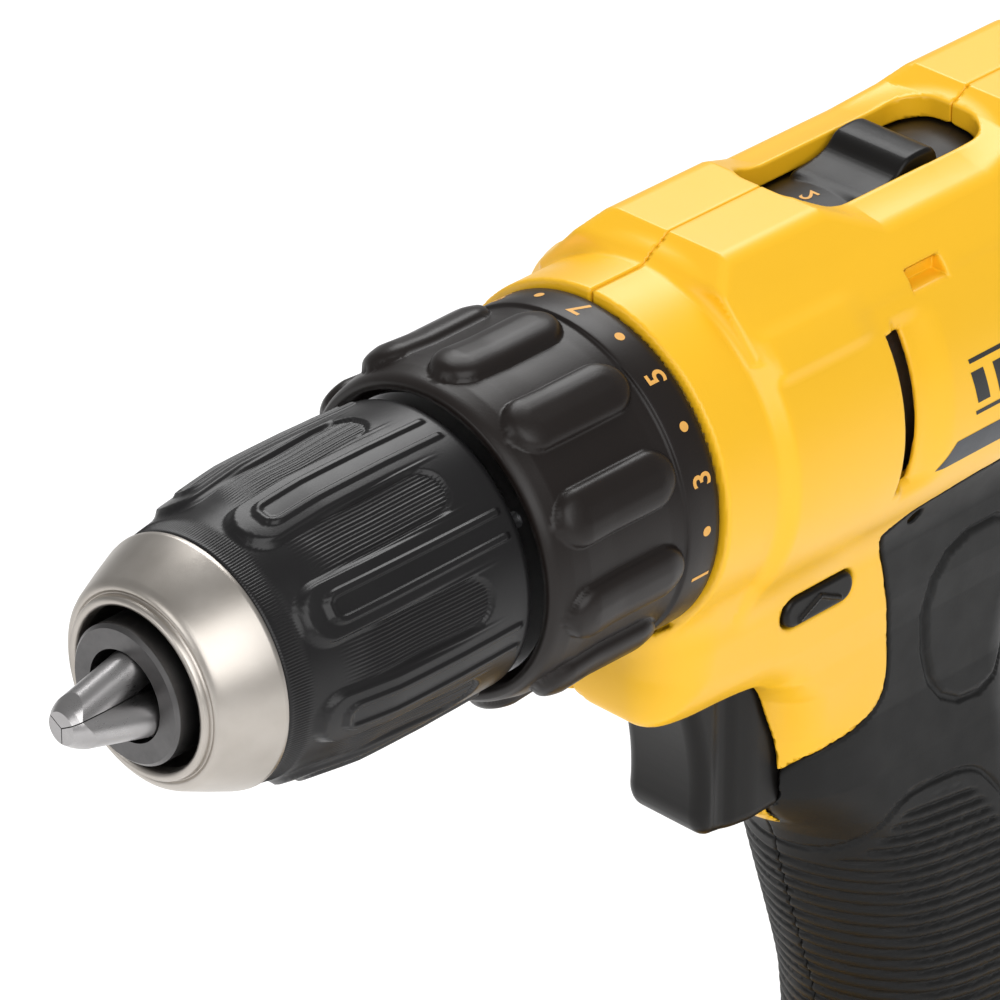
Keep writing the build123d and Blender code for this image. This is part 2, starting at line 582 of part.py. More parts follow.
def make_battery():
    """Battery case in two mouldings, latch button, five cells and their circuit board."""
    lower = battery_box(0, BATTERY_BOTTOM, BATTERY_SEAM)
    lower = chamfer(lower.faces().sort_by(Axis.Z)[0].edges(), 2.0)
    lower -= battery_box(BATTERY_WALL, BATTERY_BOTTOM + BATTERY_WALL, BATTERY_SEAM)
    save("battery_case_lower", lower)

    upper = battery_box(0, BATTERY_SEAM, BATTERY_TOP)
    upper = chamfer(upper.faces().sort_by(Axis.Z)[-1].edges(), 3.0)
    upper -= battery_box(BATTERY_WALL, BATTERY_SEAM, BATTERY_TOP - 2.6)
    head = block(-112, -34, -16, 16, BATTERY_TOP - 0.5, -147.1) + block(-112, -34, -19.5, 19.5, -147.1, -143.6)
    for i in range(5):
        head -= block(-113, -93, 6 * i - 13, 6 * i - 11, -149.4, -143)
    upper += head
    upper -= block(-29.8, -19.2, -9.3, 9.3, -161, BATTERY_TOP + 1)
    upper += block(-30.8, -18.2, -10.3, 10.3, -162, -153.6) - block(-29.8, -19.2, -9.3, 9.3, -161, -144)
    save("battery_case_upper", upper)

    button = block(-29.5, -19.5, -9, 9, -156.5, BATTERY_TOP + 1.6)
    button = fillet(button.faces().sort_by(Axis.Z)[-1].edges(), 0.8)
    save("release_button", button)
    cells = []
    middle = (BATTERY_FRONT_X + BATTERY_REAR_X) / 2
    for i in range(5):
        x = middle + (i - 2) * CELL_PITCH
        z = BATTERY_BOTTOM + BATTERY_WALL + CELL_R
        cells.append(Pos(x, 0, z) * Rot(X=90) * Cylinder(CELL_R, CELL_LENGTH))
    save("battery_cells", *cells)
    board = block(-110, -50, -17, 17, -173.4, -171.8)
    for i in range(5):
        board += block(-100, -99.2, 6 * i - 14.5, 6 * i - 9.5, -171.8, -153.6)
    save("battery_board", board)


os.makedirs("parts", exist_ok=True)
make_housing()
make_rear_cap()
make_gear_case()
make_gears()
make_spindle()
make_motor()
make_leads()
make_shift()
make_clutch()
make_chuck()
make_controls()
make_battery()
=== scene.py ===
import json

import bpy
import numpy as np
from mathutils import Matrix, Vector


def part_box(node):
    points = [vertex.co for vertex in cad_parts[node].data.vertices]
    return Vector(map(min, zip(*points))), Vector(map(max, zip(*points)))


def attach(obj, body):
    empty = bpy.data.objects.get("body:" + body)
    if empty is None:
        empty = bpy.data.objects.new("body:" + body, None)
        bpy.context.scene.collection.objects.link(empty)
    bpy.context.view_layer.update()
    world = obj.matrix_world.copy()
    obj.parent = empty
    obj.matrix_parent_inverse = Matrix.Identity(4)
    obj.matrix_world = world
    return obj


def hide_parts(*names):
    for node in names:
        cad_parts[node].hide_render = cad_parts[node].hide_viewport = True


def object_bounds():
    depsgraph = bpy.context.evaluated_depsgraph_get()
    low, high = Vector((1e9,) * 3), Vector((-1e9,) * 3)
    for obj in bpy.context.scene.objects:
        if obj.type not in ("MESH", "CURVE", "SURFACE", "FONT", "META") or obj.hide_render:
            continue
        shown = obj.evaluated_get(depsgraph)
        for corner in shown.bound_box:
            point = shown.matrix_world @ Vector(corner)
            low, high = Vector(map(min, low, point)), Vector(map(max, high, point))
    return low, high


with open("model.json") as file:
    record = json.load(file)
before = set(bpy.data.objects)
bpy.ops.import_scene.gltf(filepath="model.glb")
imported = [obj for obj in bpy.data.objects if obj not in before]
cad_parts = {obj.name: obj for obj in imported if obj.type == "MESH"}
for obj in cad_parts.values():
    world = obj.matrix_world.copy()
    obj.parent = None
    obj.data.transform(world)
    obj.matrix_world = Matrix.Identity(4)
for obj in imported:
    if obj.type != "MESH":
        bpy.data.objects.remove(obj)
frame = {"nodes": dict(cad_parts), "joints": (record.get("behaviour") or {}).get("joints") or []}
cad_box = [list(corner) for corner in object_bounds()]

# The drill is drawn in millimetres about its spindle: x runs forward from the clutch collar's rear face,
# y to the drill's left and z up. ORIGIN is that point in the frame, taken from the collar's box, which
# starts 0.3 mm in front of it, and from the spindle's own axis.
MM = 0.001
SPINDLE_Z = next(joint for joint in frame["joints"] if joint["name"] == "spindle_spin")["pos_m"][2]
ORIGIN = np.array([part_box("clutch_collar")[0].x - 0.3 * MM, 0.0, SPINDLE_Z])


# Chuck sleeve. The hand-tightened outer sleeve of the keyless chuck, moulded in glossy black nylon: eight
# raised tongues with a hairpin rib, eight ribbed finger panels between them, and a fine knurl at the front.
def closed_grid(rows, columns):
    """Quads of a grid that wraps round both ways."""
    i, j = np.meshgrid(np.arange(rows), np.arange(columns), indexing="ij")
    k, m = (i + 1) % rows, (j + 1) % columns
    return np.stack([i * columns + j, k * columns + j, k * columns + m, i * columns + m], -1).reshape(-1, 4)


def piece(name, points, faces, finish, body, nodes=(), slot=None, smooth=True):
    """A mesh from points in drill millimetres, with its finish, riding on a CAD body."""
    mesh = bpy.data.meshes.new(name)
    mesh.from_pydata(((np.asarray(points) * MM) + ORIGIN).tolist(), [], np.asarray(faces).tolist())
    mesh.polygons.foreach_set("use_smooth", np.full(len(mesh.polygons), smooth))
    mesh.materials.append(finish)
    made = bpy.data.objects.new(name, mesh)
    bpy.context.scene.collection.objects.link(made)
    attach(made, body)
    if nodes:
        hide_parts(*nodes)
    return made


def turned_grid(x, r, columns):
    """Points of a closed profile turned about the spindle. x and r may vary from column to column."""
    turn = np.linspace(0, 2 * np.pi, columns, endpoint=False)
    x, r = (np.broadcast_to(v, (len(v), columns)) for v in (x, r))
    return np.stack([x, r * np.cos(turn), r * np.sin(turn)], -1).reshape(-1, 3)


def eased(value, low, high):
    """0 below low, 1 above high, and an S-curve between."""
    t = np.clip((value - low) / (high - low), 0, 1)
    return t * t * (3 - 2 * t)


class Value:
    """A shader socket that takes plain arithmetic; each operation adds its Math node."""

    def __init__(self, finish, socket):
        self.finish, self.socket = finish, socket

    def _maths(self, operation, first, second):
        return self.finish.node("Math", {"operation": operation}, {0: first, 1: second})

    def __add__(self, other):
        return self._maths("ADD", self, other)

    def __radd__(self, other):
        return self._maths("ADD", other, self)

    def __sub__(self, other):
        return self._maths("SUBTRACT", self, other)

    def __rsub__(self, other):
        return self._maths("SUBTRACT", other, self)

    def __mul__(self, other):
        return self._maths("MULTIPLY", self, other)

    def __rmul__(self, other):
        return self._maths("MULTIPLY", other, self)

    def __pow__(self, other):
        return self._maths("POWER", self, other)


class Finish:
    """A named material: fixed numbers go on the Principled shader, patterns are fed to its sockets."""

    def __init__(self, name, **fixed):
        self.material = bpy.data.materials.new(name)
        self.material.use_nodes = True
        self.tree = self.material.node_tree
        self.shader = self.tree.nodes["Principled BSDF"]
        for socket, number in fixed.items():
            self.shader.inputs[socket.replace("_", " ")].default_value = number
        self.place = self.node("TexCoord", output="Object")

    def node(self, kind, settings=None, sockets=None, output=0):
        """Any shader node: settings are made first, then socket values or links."""
        made = self.tree.nodes.new("ShaderNode" + kind)
        for key, setting in (settings or {}).items():
            setattr(made, key, setting)
        for key, value in (sockets or {}).items():
            if isinstance(value, Value):
                self.tree.links.new(value.socket, made.inputs[key])
            else:
                made.inputs[key].default_value = value
        return Value(self, made.outputs[output])

    def parts(self, vector):
        """The three components of a vector."""
        first = self.node("SeparateXYZ", None, {0: vector})
        return [Value(self, out) for out in first.socket.node.outputs]

    def noise(self, size_mm, detail=4.0, roughness=0.5, place=None):
        """Cloudy noise from 0 to 1 with features of about size_mm."""
        return self.node("TexNoise", None, {"Vector": place or self.place, "Scale": 1 / (size_mm * MM),
                                            "Detail": detail, "Roughness": roughness})

    def feed(self, socket, value):
        self.tree.links.new(value.socket, self.shader.inputs[socket])

    def blend(self, amount, first, second):
        """Mix of two colours by a mask."""
        return self.node("Mix", {"data_type": "RGBA"}, {0: amount, 6: first, 7: second}, output=2)

    def bump(self, height, depth_mm, strength=1.0):
        self.feed("Normal", self.node("Bump", None, {"Height": height, "Distance": depth_mm * MM,
                                                     "Strength": strength}))


def moulded(name, colour, worn, rough=0.42, grain_mm=0.35, depth_mm=0.03, **fixed):
    """Moulded plastic: spark-eroded grain, faint colour drift, handled patches that are a little shinier."""
    finish = Finish(name, **fixed)
    drift = finish.noise(26, 3)
    grain = finish.noise(grain_mm, 2, 0.6)
    handled = finish.noise(9, 4)
    finish.feed("Base Color", finish.blend(drift * 0.5 + grain * 0.18, (*colour, 1), (*worn, 1)))
    finish.feed("Roughness", rough + (handled - 0.5) * 0.16 + (grain - 0.5) * 0.08)
    finish.bump(grain, depth_mm)
    return finish.material


SLEEVE_TURN = [(32.8, 20.6), (33.0, 21.1), (33.6, 21.35), (40, 21.4), (46, 21.25), (58, 20.55), (68, 19.3),
               (75.1, 18.2)]
TONGUES, TONGUE_START, PANEL_START = 8, 33.0, 10.5
SLEEVE_COLUMNS = 1040


def sleeve_height(x, turn, radius):
    """Relief over the plain sleeve. A tongue is a raised stadium that sinks into the cone towards the rear;
    its rib is the band about a narrower stadium; a panel is a shallow stadium filled with a triangle wave."""
    def across(start):
        step = 2 * np.pi / TONGUES
        return ((turn - np.radians(start) + step / 2) % step - step / 2) * radius

    w = across(TONGUE_START)
    front = np.maximum(x - 66.4, 0)
    tongue = np.hypot(front, w) - 4.3
    raised = 0.95 * eased(x, 36, 62) * eased(-tongue, -0.1, 0.75)
    hairpin = np.abs(np.hypot(np.maximum(x - 64.6, 0), w) - 1.75) - 0.62
    rib = 0.42 * eased(-hairpin, -0.05, 0.35) * eased(x, 34.9, 35.2)
    lip = 0.22 * eased(-(np.abs(tongue) - 0.35), 0, 0.3) * eased(x, 37, 46)

    v = across(PANEL_START)
    panel = np.hypot(np.minimum(x - 44.0, 0), v) - 3.95
    depth = 0.6 * eased(-panel, 0.0, 0.5) * (1 - eased(x, 52, 64))
    wave = np.abs((v / 0.56) % 1 - 0.5) * 2
    ribs = 0.26 * wave * eased(-(np.hypot(np.minimum(x - 44.0, 0), v) - 3.5), 0, 0.3) * (1 - eased(x, 60, 67))
    knurl = 0.14 * (np.abs((turn * SLEEVE_COLUMNS / (8 * np.pi)) % 1 - 0.5) * 2) * eased(x, 71.2, 72) * (
        1 - eased(x, 74.2, 74.8)) * eased(tongue, 0, 0.4)
    return raised + rib + lip - depth + ribs * eased(depth + 0.35 * (x > 50), 0.1, 0.4) - knurl


def make_sleeve():
    turn = np.linspace(0, 2 * np.pi, SLEEVE_COLUMNS, endpoint=False)
    fine = np.concatenate([[32.8, 33.0, 33.3, 33.6], np.arange(34.2, 42.0, 0.4), np.arange(42.0, 60.0, 1.0),
                           np.arange(60.0, 75.0, 0.5), [75.1]])
    outer = np.interp(fine, *zip(*SLEEVE_TURN))
    relief = sleeve_height(fine[:, None], turn[None], outer[:, None])
    edges = eased(fine, 33.4, 34.6) * (1 - eased(fine, 74.6, 75.1))
    outside = outer[:, None] + relief * edges[:, None]
    bore = np.array([(75.1, 16.7), (68, 16.7), (66, 18.3), (54, 18.3), (53, 19.7), (32.8, 19.7)])
    x = np.concatenate([fine, bore[:, 0]])[:, None]
    r = np.concatenate([outside, np.repeat(bore[:, 1:], SLEEVE_COLUMNS, 1)])
    return turned_grid(x, r, SLEEVE_COLUMNS), closed_grid(len(x), SLEEVE_COLUMNS)


sleeve_finish = moulded("sleeve black nylon", (0.0070, 0.0065, 0.0070), (0.012, 0.0115, 0.012), rough=0.33,
                        grain_mm=0.25, depth_mm=0.008, Specular_IOR_Level=0.32)
piece("chuck_sleeve_skin", *make_sleeve(), sleeve_finish, "sleeve", ["chuck_sleeve"], "black_gloss")


# Chuck nose. The front shell of the chuck, a pressed and satin-nickelled bell with a rolled rim, pushed
# into the sleeve's front.
def nickel_finish():
    """Nickel with fine polishing rings about the spindle: noise stretched along the turning direction."""
    finish = Finish("satin nickel", Metallic=1.0)
    centred = finish.node("VectorMath", {"operation": "SUBTRACT"}, {0: finish.place, 1: tuple(ORIGIN)})
    x, y, z = finish.parts(centred)
    radius = (y * y + z * z) ** 0.5
    rings = finish.node("TexNoise", {"noise_dimensions": "1D"}, {"W": (x + radius) * 9000.0, "Detail": 3.0})
    cloud = finish.noise(6, 5)
    finish.feed("Base Color", finish.blend(cloud, (0.40, 0.365, 0.325, 1), (0.56, 0.525, 0.485, 1)))
    finish.feed("Roughness", 0.27 + rings * 0.10 + cloud * 0.10)
    finish.bump(rings * 0.7 + finish.noise(0.4, 2) * 0.3, 0.004)
    return finish.material


NOSE_TURN = [(68, 15.3), (68, 16.5), (75.2, 16.55), (75.2, 18.2), (75.4, 18.4), (76.0, 18.25), (79.5, 16.85),
             (83.2, 15.25), (83.9, 14.85), (84.35, 14.35), (84.5, 13.9), (84.4, 13.55), (84.15, 13.4), (84.2, 13.2),
             (84.6, 13.1), (85.2, 13.05), (85.5, 12.8), (85.5, 12.3), (85.3, 11.95), (84.9, 11.75), (83.6, 11.65),
             (83.2, 11.9), (83.0, 12.4), (80, 13.6), (76, 15.2)]
nose_x, nose_r = np.array(NOSE_TURN).T
piece("chuck_nose_shell", turned_grid(nose_x[:, None], nose_r[:, None], 160),
      closed_grid(len(NOSE_TURN), 160), nickel_finish(), "sleeve", ["chuck_nose"], "nickel")


# Clutch collar. The numbered torque ring, one black nylon moulding: a smooth printed band at the rear and
# eleven rounded lobes to grip it by. The odd settings are printed as numerals and the even ones as dots.
COLLAR_TURN = [(0.3, 25.1), (0.5, 25.3), (5.9, 25.3), (6.3, 25.2), (6.6, 24.75), (9, 24.45), (20, 24.35), (25, 24.65),
               (28, 24.5), (30.4, 23.95), (31.1, 23.6), (31.5, 23.2)]
LOBES, LOBE_START = 11, 90.0
COLLAR_COLUMNS = 616


def lobe_height(x, turn):
    """Each lobe is a stadium seen from above, 8 mm wide, with a rounded crown that falls to its edge."""
    step = 2 * np.pi / LOBES
    w = ((turn - np.radians(LOBE_START) + step / 2) % step - step / 2) * 25.5
    along = np.maximum(np.abs(x - 18.2) - 6.7, 0)
    inside = np.clip(1 - np.hypot(along, w) / 4.35, 0, 1)
    crown = np.sqrt(np.clip(1 - (1 - np.minimum(inside * 2.0, 1)) ** 2, 0, 1))
    return 2.1 * crown * (0.86 + 0.14 * eased(inside, 0.3, 0.8))


def make_collar():
    turn = np.linspace(0, 2 * np.pi, COLLAR_COLUMNS, endpoint=False)
    fine = np.concatenate([[0.3, 0.4, 0.55, 1.5, 3.5, 5.9, 6.15, 6.3, 6.45, 6.6, 7.0], np.arange(7.4, 12.6, 0.3),
                           np.arange(12.6, 23.8, 0.9), np.arange(23.8, 29.4, 0.3), [29.8, 30.4, 31.1, 31.35, 31.5]])
    outer = np.interp(fine, *zip(*COLLAR_TURN))[:, None] + lobe_height(fine[:, None], turn[None])
    bore = np.array([(31.5, 22.0), (28.0, 22.0), (28.0, 18.3), (26.2, 18.3), (26.2, 22.8), (0.3, 22.8)])
    x = np.concatenate([fine, bore[:, 0]])[:, None]
    r = np.concatenate([outer, np.repeat(bore[:, 1:], COLLAR_COLUMNS, 1)])
    return turned_grid(x, r, COLLAR_COLUMNS), closed_grid(len(x), COLLAR_COLUMNS)


collar_finish = moulded("collar black nylon", (0.0085, 0.0058, 0.0050), (0.014, 0.0100, 0.0085), rough=0.38,
                        grain_mm=0.3, depth_mm=0.012, Specular_IOR_Level=0.3)
piece("clutch_collar_skin", *make_collar(), collar_finish, "collar", ["clutch_collar"], "black_plastic")


# Numerals and dots of the torque ring, pad-printed in warm orange on the collar's rear band.
def ring_print_finish():
    """Printing ink: almost flat, a little uneven where it sank into the grain."""
    finish = Finish("ring ink")
    blotch = finish.noise(0.8, 3)
    finish.feed("Base Color", finish.blend(blotch, (0.84, 0.45, 0.10, 1), (0.72, 0.36, 0.075, 1)))
    finish.feed("Roughness", 0.5 + blotch * 0.15)
    return finish.material


RING_STEP, RING_FIRST, RING_LAST, RING_MIDDLE = 17.5, -17.5, 15, 3.0
INK_LIFT = 0.04


def numeral(text, size):
    """Triangles of a short text, centred, in millimetres."""
    curve = bpy.data.curves.new("numeral", "FONT")
    curve.body, curve.size, curve.align_x, curve.align_y = text, size, "CENTER", "CENTER"
    curve.offset, curve.resolution_u = size * 0.018, 6
    flat = bpy.data.objects.new("numeral", curve)
    bpy.context.scene.collection.objects.link(flat)
    bpy.context.view_layer.update()
    mesh = bpy.data.meshes.new_from_object(flat)
    points = np.array([v.co[:2] for v in mesh.vertices])
    faces = [list(p.vertices) for p in mesh.polygons]
    bpy.data.objects.remove(flat)
    bpy.data.meshes.remove(mesh)
    return points - (points.max(0) + points.min(0)) / 2, faces


def dot(radius, sides=24):
    """A small disc as a fan about its middle."""
    turn = np.linspace(0, 2 * np.pi, sides, endpoint=False)
    rim = radius * np.stack([np.cos(turn), np.sin(turn)], -1)
    return np.concatenate([[[0, 0]], rim]), [[0, i + 1, (i + 1) % sides + 1] for i in range(sides)]


def make_ring_print():
    """Each mark is wrapped on the band: its width runs round the ring and its height forward."""
    points, faces = [], []
    for number in range(1, RING_LAST + 1):
        flat, triangles = numeral(str(number), 4.6) if number % 2 else dot(0.75)
        turn = np.radians(RING_FIRST + RING_STEP * (number - 1)) + flat[:, 0] / 25.3
        radius = 25.3 + INK_LIFT
        wrapped = np.stack([RING_MIDDLE + flat[:, 1], radius * np.cos(turn), radius * np.sin(turn)], -1)
        faces += [[v + sum(len(p) for p in points) for v in face] for face in triangles]
        points.append(wrapped)
    return np.concatenate(points), faces


def print_piece(name, points, faces, finish, body):
    """A printed mark, whose faces may have any number of corners."""
    mesh = bpy.data.meshes.new(name)
    mesh.from_pydata((points * MM + ORIGIN).tolist(), [], faces)
    mesh.materials.append(finish)
    made = bpy.data.objects.new(name, mesh)
    bpy.context.scene.collection.objects.link(made)
    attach(made, body)
    return made


print_piece("ring_numerals", *make_ring_print(), ring_print_finish(), "collar")


# Chuck works. Turned and hardened steel: body, three ground jaws with the threads of the split nut on their
# backs, ball race and the screw that locks the body to the spindle.
def dress(finish, *names):
    """Gives CAD nodes a finish."""
    for name in names:
        mesh = frame["nodes"][name].data
        mesh.materials.clear()
        mesh.materials.append(finish)


def worked_metal(name, colour, dull, rough, stretch=(1, 8, 8), mark_mm=0.9, depth_mm=0.004, **fixed):
    """Machined metal: tool marks drawn out along one direction, and duller patches of oil and handling."""
    finish = Finish(name, Metallic=1.0, **fixed)
    marks = finish.noise(mark_mm, 4, 0.6, finish.node("Mapping", None, {"Vector": finish.place, "Scale": stretch}))
    film = finish.noise(4, 5)
    finish.feed("Base Color", finish.blend(film * 0.7 + marks * 0.3, (*colour, 1), (*dull, 1)))
    finish.feed("Roughness", rough + (marks - 0.5) * 0.16 + (film - 0.5) * 0.14)
    finish.bump(marks, depth_mm)
    return finish.material


dress(worked_metal("ground jaw steel", (0.46, 0.45, 0.45), (0.33, 0.32, 0.32), 0.30),
      "chuck_jaw_1", "chuck_jaw_2", "chuck_jaw_3")
dress(worked_metal("chuck body steel", (0.16, 0.155, 0.155), (0.09, 0.088, 0.088), 0.36, (8, 1, 1)),
      "chuck_body", "chuck_screw")
dress(worked_metal("turned spindle steel", (0.42, 0.41, 0.40), (0.28, 0.27, 0.26), 0.28, (10, 1, 1)),
      "spindle", "spindle_bearing", "chuck_bearing", "clutch_pins", "clutch_spring")
dress(worked_metal("pressed zinc-plated steel", (0.50, 0.50, 0.50), (0.36, 0.36, 0.37), 0.34, (2, 2, 2)),
      "collar_retainer", "clutch_washer")
dress(worked_metal("sintered nut", (0.20, 0.19, 0.18), (0.12, 0.115, 0.11), 0.52, (1, 1, 1), 0.3, 0.02), "chuck_nut")
dress(moulded("acetal white", (0.62, 0.61, 0.57), (0.52, 0.50, 0.45), rough=0.4, grain_mm=0.3, depth_mm=0.006),
      "clutch_nut")


# Housing. Two glass-filled nylon halves, yellow, screwed together on the drill's middle plane: barrel with
# a flat-topped hump before and behind the selector window, neck, handle core and battery foot.
YELLOW, YELLOW_WORN = (0.960, 0.535, 0.014), (0.93, 0.50, 0.016)
RUBBER_DEEP = 2.0
DECK = np.array([(-128, 25), (-118, 25.2), (-106, 26), (-98, 29.8), (-78.3, 29.8), (-74.8, 27.1), (-66, 25.5),
                 (-44, 25.5), (-35, 29.75), (-15.6, 29.75), (-11.5, 26.4), (5, 26.4)])
NECK = [(0.2, -8), (1.5, -26), (3.4, -35), (2.0, -38.2), (-4, -39.6), (-13.5, -39.9), (-21.5, -41), (-25.2, -44),
        (-26.6, -49.5), (-26.6, -59), (-27.4, -65), (-29.8, -70), (-34, -73.6), (-38.6, -76.2), (-40.6, -81),
        (-41.6, -86), (-44.4, -95), (-47.6, -105), (-50.4, -114), (-51.9, -124), (-52.6, -134), (-53, -144),
        (-95.5, -144), (-94.6, -133), (-92.4, -123), (-89.8, -112), (-86.5, -101), (-84, -88), (-81.3, -74),
        (-79, -62), (-77.5, -48), (-78, -36), (-80.5, -27), (-86, -20), (-92, -12)]
NECK_FRONT = np.array([(-134, -52.5), (-125, -51.8), (-115, -50.6), (-105, -47.6), (-95, -44.4), (-86, -41.6),
                       (-78, -39.5), (-74, -34), (-66, -27.6), (-60, -26.6), (-46, -26), (-43, -20), (-40, 3),
                       (-12, 3)])
NECK_HALF = np.array([(-150, 19), (-134, 18), (-125, 17.2), (-112, 17), (-96, 16.6), (-80, 16.3), (-72, 16),
                      (-66, 15.6), (-55, 15.3), (-46.5, 16), (-41, 16.5), (-35, 17.5), (-26, 18.5), (-12, 18)])
NECK_ROUND = np.array([(-134, 11), (-80, 10), (-66, 9.5), (-55, 9), (-46.5, 8), (-42, 5.5), (-38, 6.5), (-30, 9),
                       (-12, 9)])
RUBBER = [(-38, -15.5), (-43, -30), (-45.6, -40), (-46.8, -48.5), (-46.0, -53), (-41.5, -55.8), (-35.5, -57.2),
          (-31.6, -59.2), (-30.0, -62.5), (-30.6, -67), (-33.4, -71.2), (-37.6, -74.6), (-36, -78), (-14, -79),
          (-14, -136.5), (-126, -136.5), (-126, -15.5)]
SCREWS = [(-12, -31.5), (-68, -33), (-70, -76), (-55.3, -91.6), (-80, -108), (-48, -139.3), (-102, -139.3)]


def rounded_cut(a, b, radius):
    """Distance to where a and b overlap, with the edge between them rounded."""
    a, b = a + radius, b + radius
    return np.minimum(np.maximum(a, b), 0) + np.hypot(np.maximum(a, 0), np.maximum(b, 0)) - radius


def blended(a, b, radius):
    """Distance to a and b together, with a fillet in the corner between them."""
    return np.maximum(radius, np.minimum(a, b)) - np.hypot(np.maximum(radius - a, 0), np.maximum(radius - b, 0))


def rounded_box(x, y, middle, half, radius):
    """Distance to a rounded rectangle in any two directions."""
    a, b = abs(x - middle[0]) - half[0] + radius, abs(y - middle[1]) - half[1] + radius
    return np.minimum(np.maximum(a, b), 0) + np.hypot(np.maximum(a, 0), np.maximum(b, 0)) - radius


def along(table, value):
    """A dimension that changes along one direction, read from (place, size) pairs."""
    return np.interp(value, table[:, 0], table[:, 1])


class Outline:
    """Distance to a closed outline in the side view with its corners cut three times, kept as a 0.5 mm map."""

    def __init__(self, corners, rounds=3):
        ring = np.array(corners, float)
        for _ in range(rounds):
            after = np.roll(ring, -1, 0)
            ring = np.stack([0.75 * ring + 0.25 * after, 0.25 * ring + 0.75 * after], 1).reshape(-1, 2)
        self.low = ring.min(0) - 20
        size = ((ring.max(0) + 20 - self.low) / 0.5).astype(int)
        x = self.low[0] + 0.5 * np.arange(size[0])[:, None]
        z = self.low[1] + 0.5 * np.arange(size[1])[None]
        nearest, inside = np.full(size, 1e9), np.zeros(size, bool)
        for a, b in zip(ring, np.roll(ring, -1, 0)):
            run, rise = b - a
            t = np.clip(((x - a[0]) * run + (z - a[1]) * rise) / (run * run + rise * rise), 0, 1)
            nearest = np.minimum(nearest, (x - a[0] - t * run) ** 2 + (z - a[1] - t * rise) ** 2)
            inside ^= ((a[1] > z) != (b[1] > z)) & (x < run * (z - a[1]) / (rise or 1e-9) + a[0])
        self.map = np.sqrt(nearest) * np.where(inside, -1, 1)

    def __call__(self, x, z):
        u = np.clip((x - self.low[0]) * 2, 0, self.map.shape[0] - 1.001)
        w = np.clip((z - self.low[1]) * 2, 0, self.map.shape[1] - 1.001)
        i, k = u.astype(int), w.astype(int)
        u, w = u - i, w - k
        return ((1 - u) * ((1 - w) * self.map[i, k] + w * self.map[i, k + 1])
                + u * ((1 - w) * self.map[i + 1, k] + w * self.map[i + 1, k + 1]))


def spread(*stops):
    """Grid lines from (place, pitch) stops: the pitch given holds from its place to the next."""
    lines = [np.arange(a, b, pitch) for (a, pitch), (b, _) in zip(stops, stops[1:])]
    return np.concatenate(lines + [[stops[-1][0]]])


def surface(field, axes):
    """Surface nets. Every grid edge that crosses the field's zero gives a quad between its four cells, whose
    points start at the mean of their crossings and are then moved down the slope on to the zero."""
    value = field(axes[0][:, None, None], axes[1][None, :, None], axes[2][None, None, :])
    spots, quads = [], []
    for axis in range(3):
        a, b = np.moveaxis(value, axis, 0)[:-1], np.moveaxis(value, axis, 0)[1:]
        found = np.argwhere((a < 0) != (b < 0))
        start, end = a[tuple(found.T)], b[tuple(found.T)]
        found = np.insert(found[:, 1:], axis, found[:, 0], 1)
        spot = found.astype(float)
        spot[:, axis] += start / (start - end)
        cells = []
        for du, dw in ((0, 0), (1, 0), (1, 1), (0, 1)):
            cell = found.copy()
            cell[:, (axis + 1) % 3] -= du
            cell[:, (axis + 2) % 3] -= dw
            cells.append((cell[:, 0] * value.shape[1] + cell[:, 1]) * value.shape[2] + cell[:, 2])
        cells = np.stack(cells, 1)
        quads.append(np.where(start[:, None] < 0, cells, cells[:, ::-1]))
        spots.append(np.repeat(spot, 4, 0))
    index = np.unique(np.concatenate(quads).ravel(), return_inverse=True)[1]
    index = index.ravel()
    spots, share = np.concatenate(spots), np.bincount(index)
    points = np.stack([np.interp(np.bincount(index, spots[:, k]) / share, np.arange(len(axes[k])), axes[k])
                       for k in range(3)], -1)

    def slope(p):
        return np.stack([(field(*(p + d).T) - field(*(p - d).T)) / 0.2 for d in np.eye(3) * 0.1], -1)

    for _ in range(3):
        rise = slope(points)
        move = field(*points.T) / np.maximum((rise * rise).sum(1), 0.3)
        points -= np.clip(move[:, None] * rise, -0.4, 0.4)
    rise = slope(points)
    return points, index.reshape(-1, 4), rise / np.maximum(np.linalg.norm(rise, axis=1, keepdims=True), 1e-6)


def moulding(name, field, axes, finish, body, nodes=(), slot=None):
    """A piece from a distance field, shaded with the field's own slope."""
    points, faces, normals = surface(field, axes)
    made = piece(name, points, faces, finish, body, nodes, slot)
    made.data.normals_split_custom_set_from_vertices(normals.tolist())
    return made


neck_outline, rubber_outline = Outline(NECK), Outline(RUBBER, 2)


def handle_form(x, y, z):
    """The handle's side outline given its width, which narrows to a rounded nose towards the front edge."""
    depth = np.clip((along(NECK_FRONT, z) - x) / 19, 0, 1)
    half = along(NECK_HALF, z) - 6 * (1 - depth) ** 2 * eased(-z, 44, 60)
    return rounded_cut(neck_outline(x, z), abs(y) - half, along(NECK_ROUND, z))


def barrel_skin(x, y, z):
    """Barrel, front ring, the two humps and the swelling on each shoulder beside the front hump."""
    radius = np.hypot(y, z)
    main = rounded_cut(radius - 28 + 0.9 * eased(-x, 112, 119.5), np.maximum(x + 11.9, -119.5 - x), 1.6)
    ring = rounded_cut(radius - 26.4, np.maximum(x + 0.1, -60 - x), 0.7)
    side = 0.747 * (abs(y) - 11) + 0.665 * (z - 29.8)
    deck = rounded_cut(z - along(DECK, x), side, 1.2)
    deck = rounded_cut(deck, np.maximum(np.maximum(x + 11.5, -119.4 - x), 18.6 - z), 0.8)
    turn = np.degrees(np.arctan2(z, abs(y)))
    swelling = eased(turn, 31.5, 36) * (1 - eased(turn, 45, 51)) * eased(-x, 11.9, 15) * (1 - eased(-x, 29, 35))
    return blended(blended(main - 0.9 * swelling, ring, 2.0), deck, 1.2)


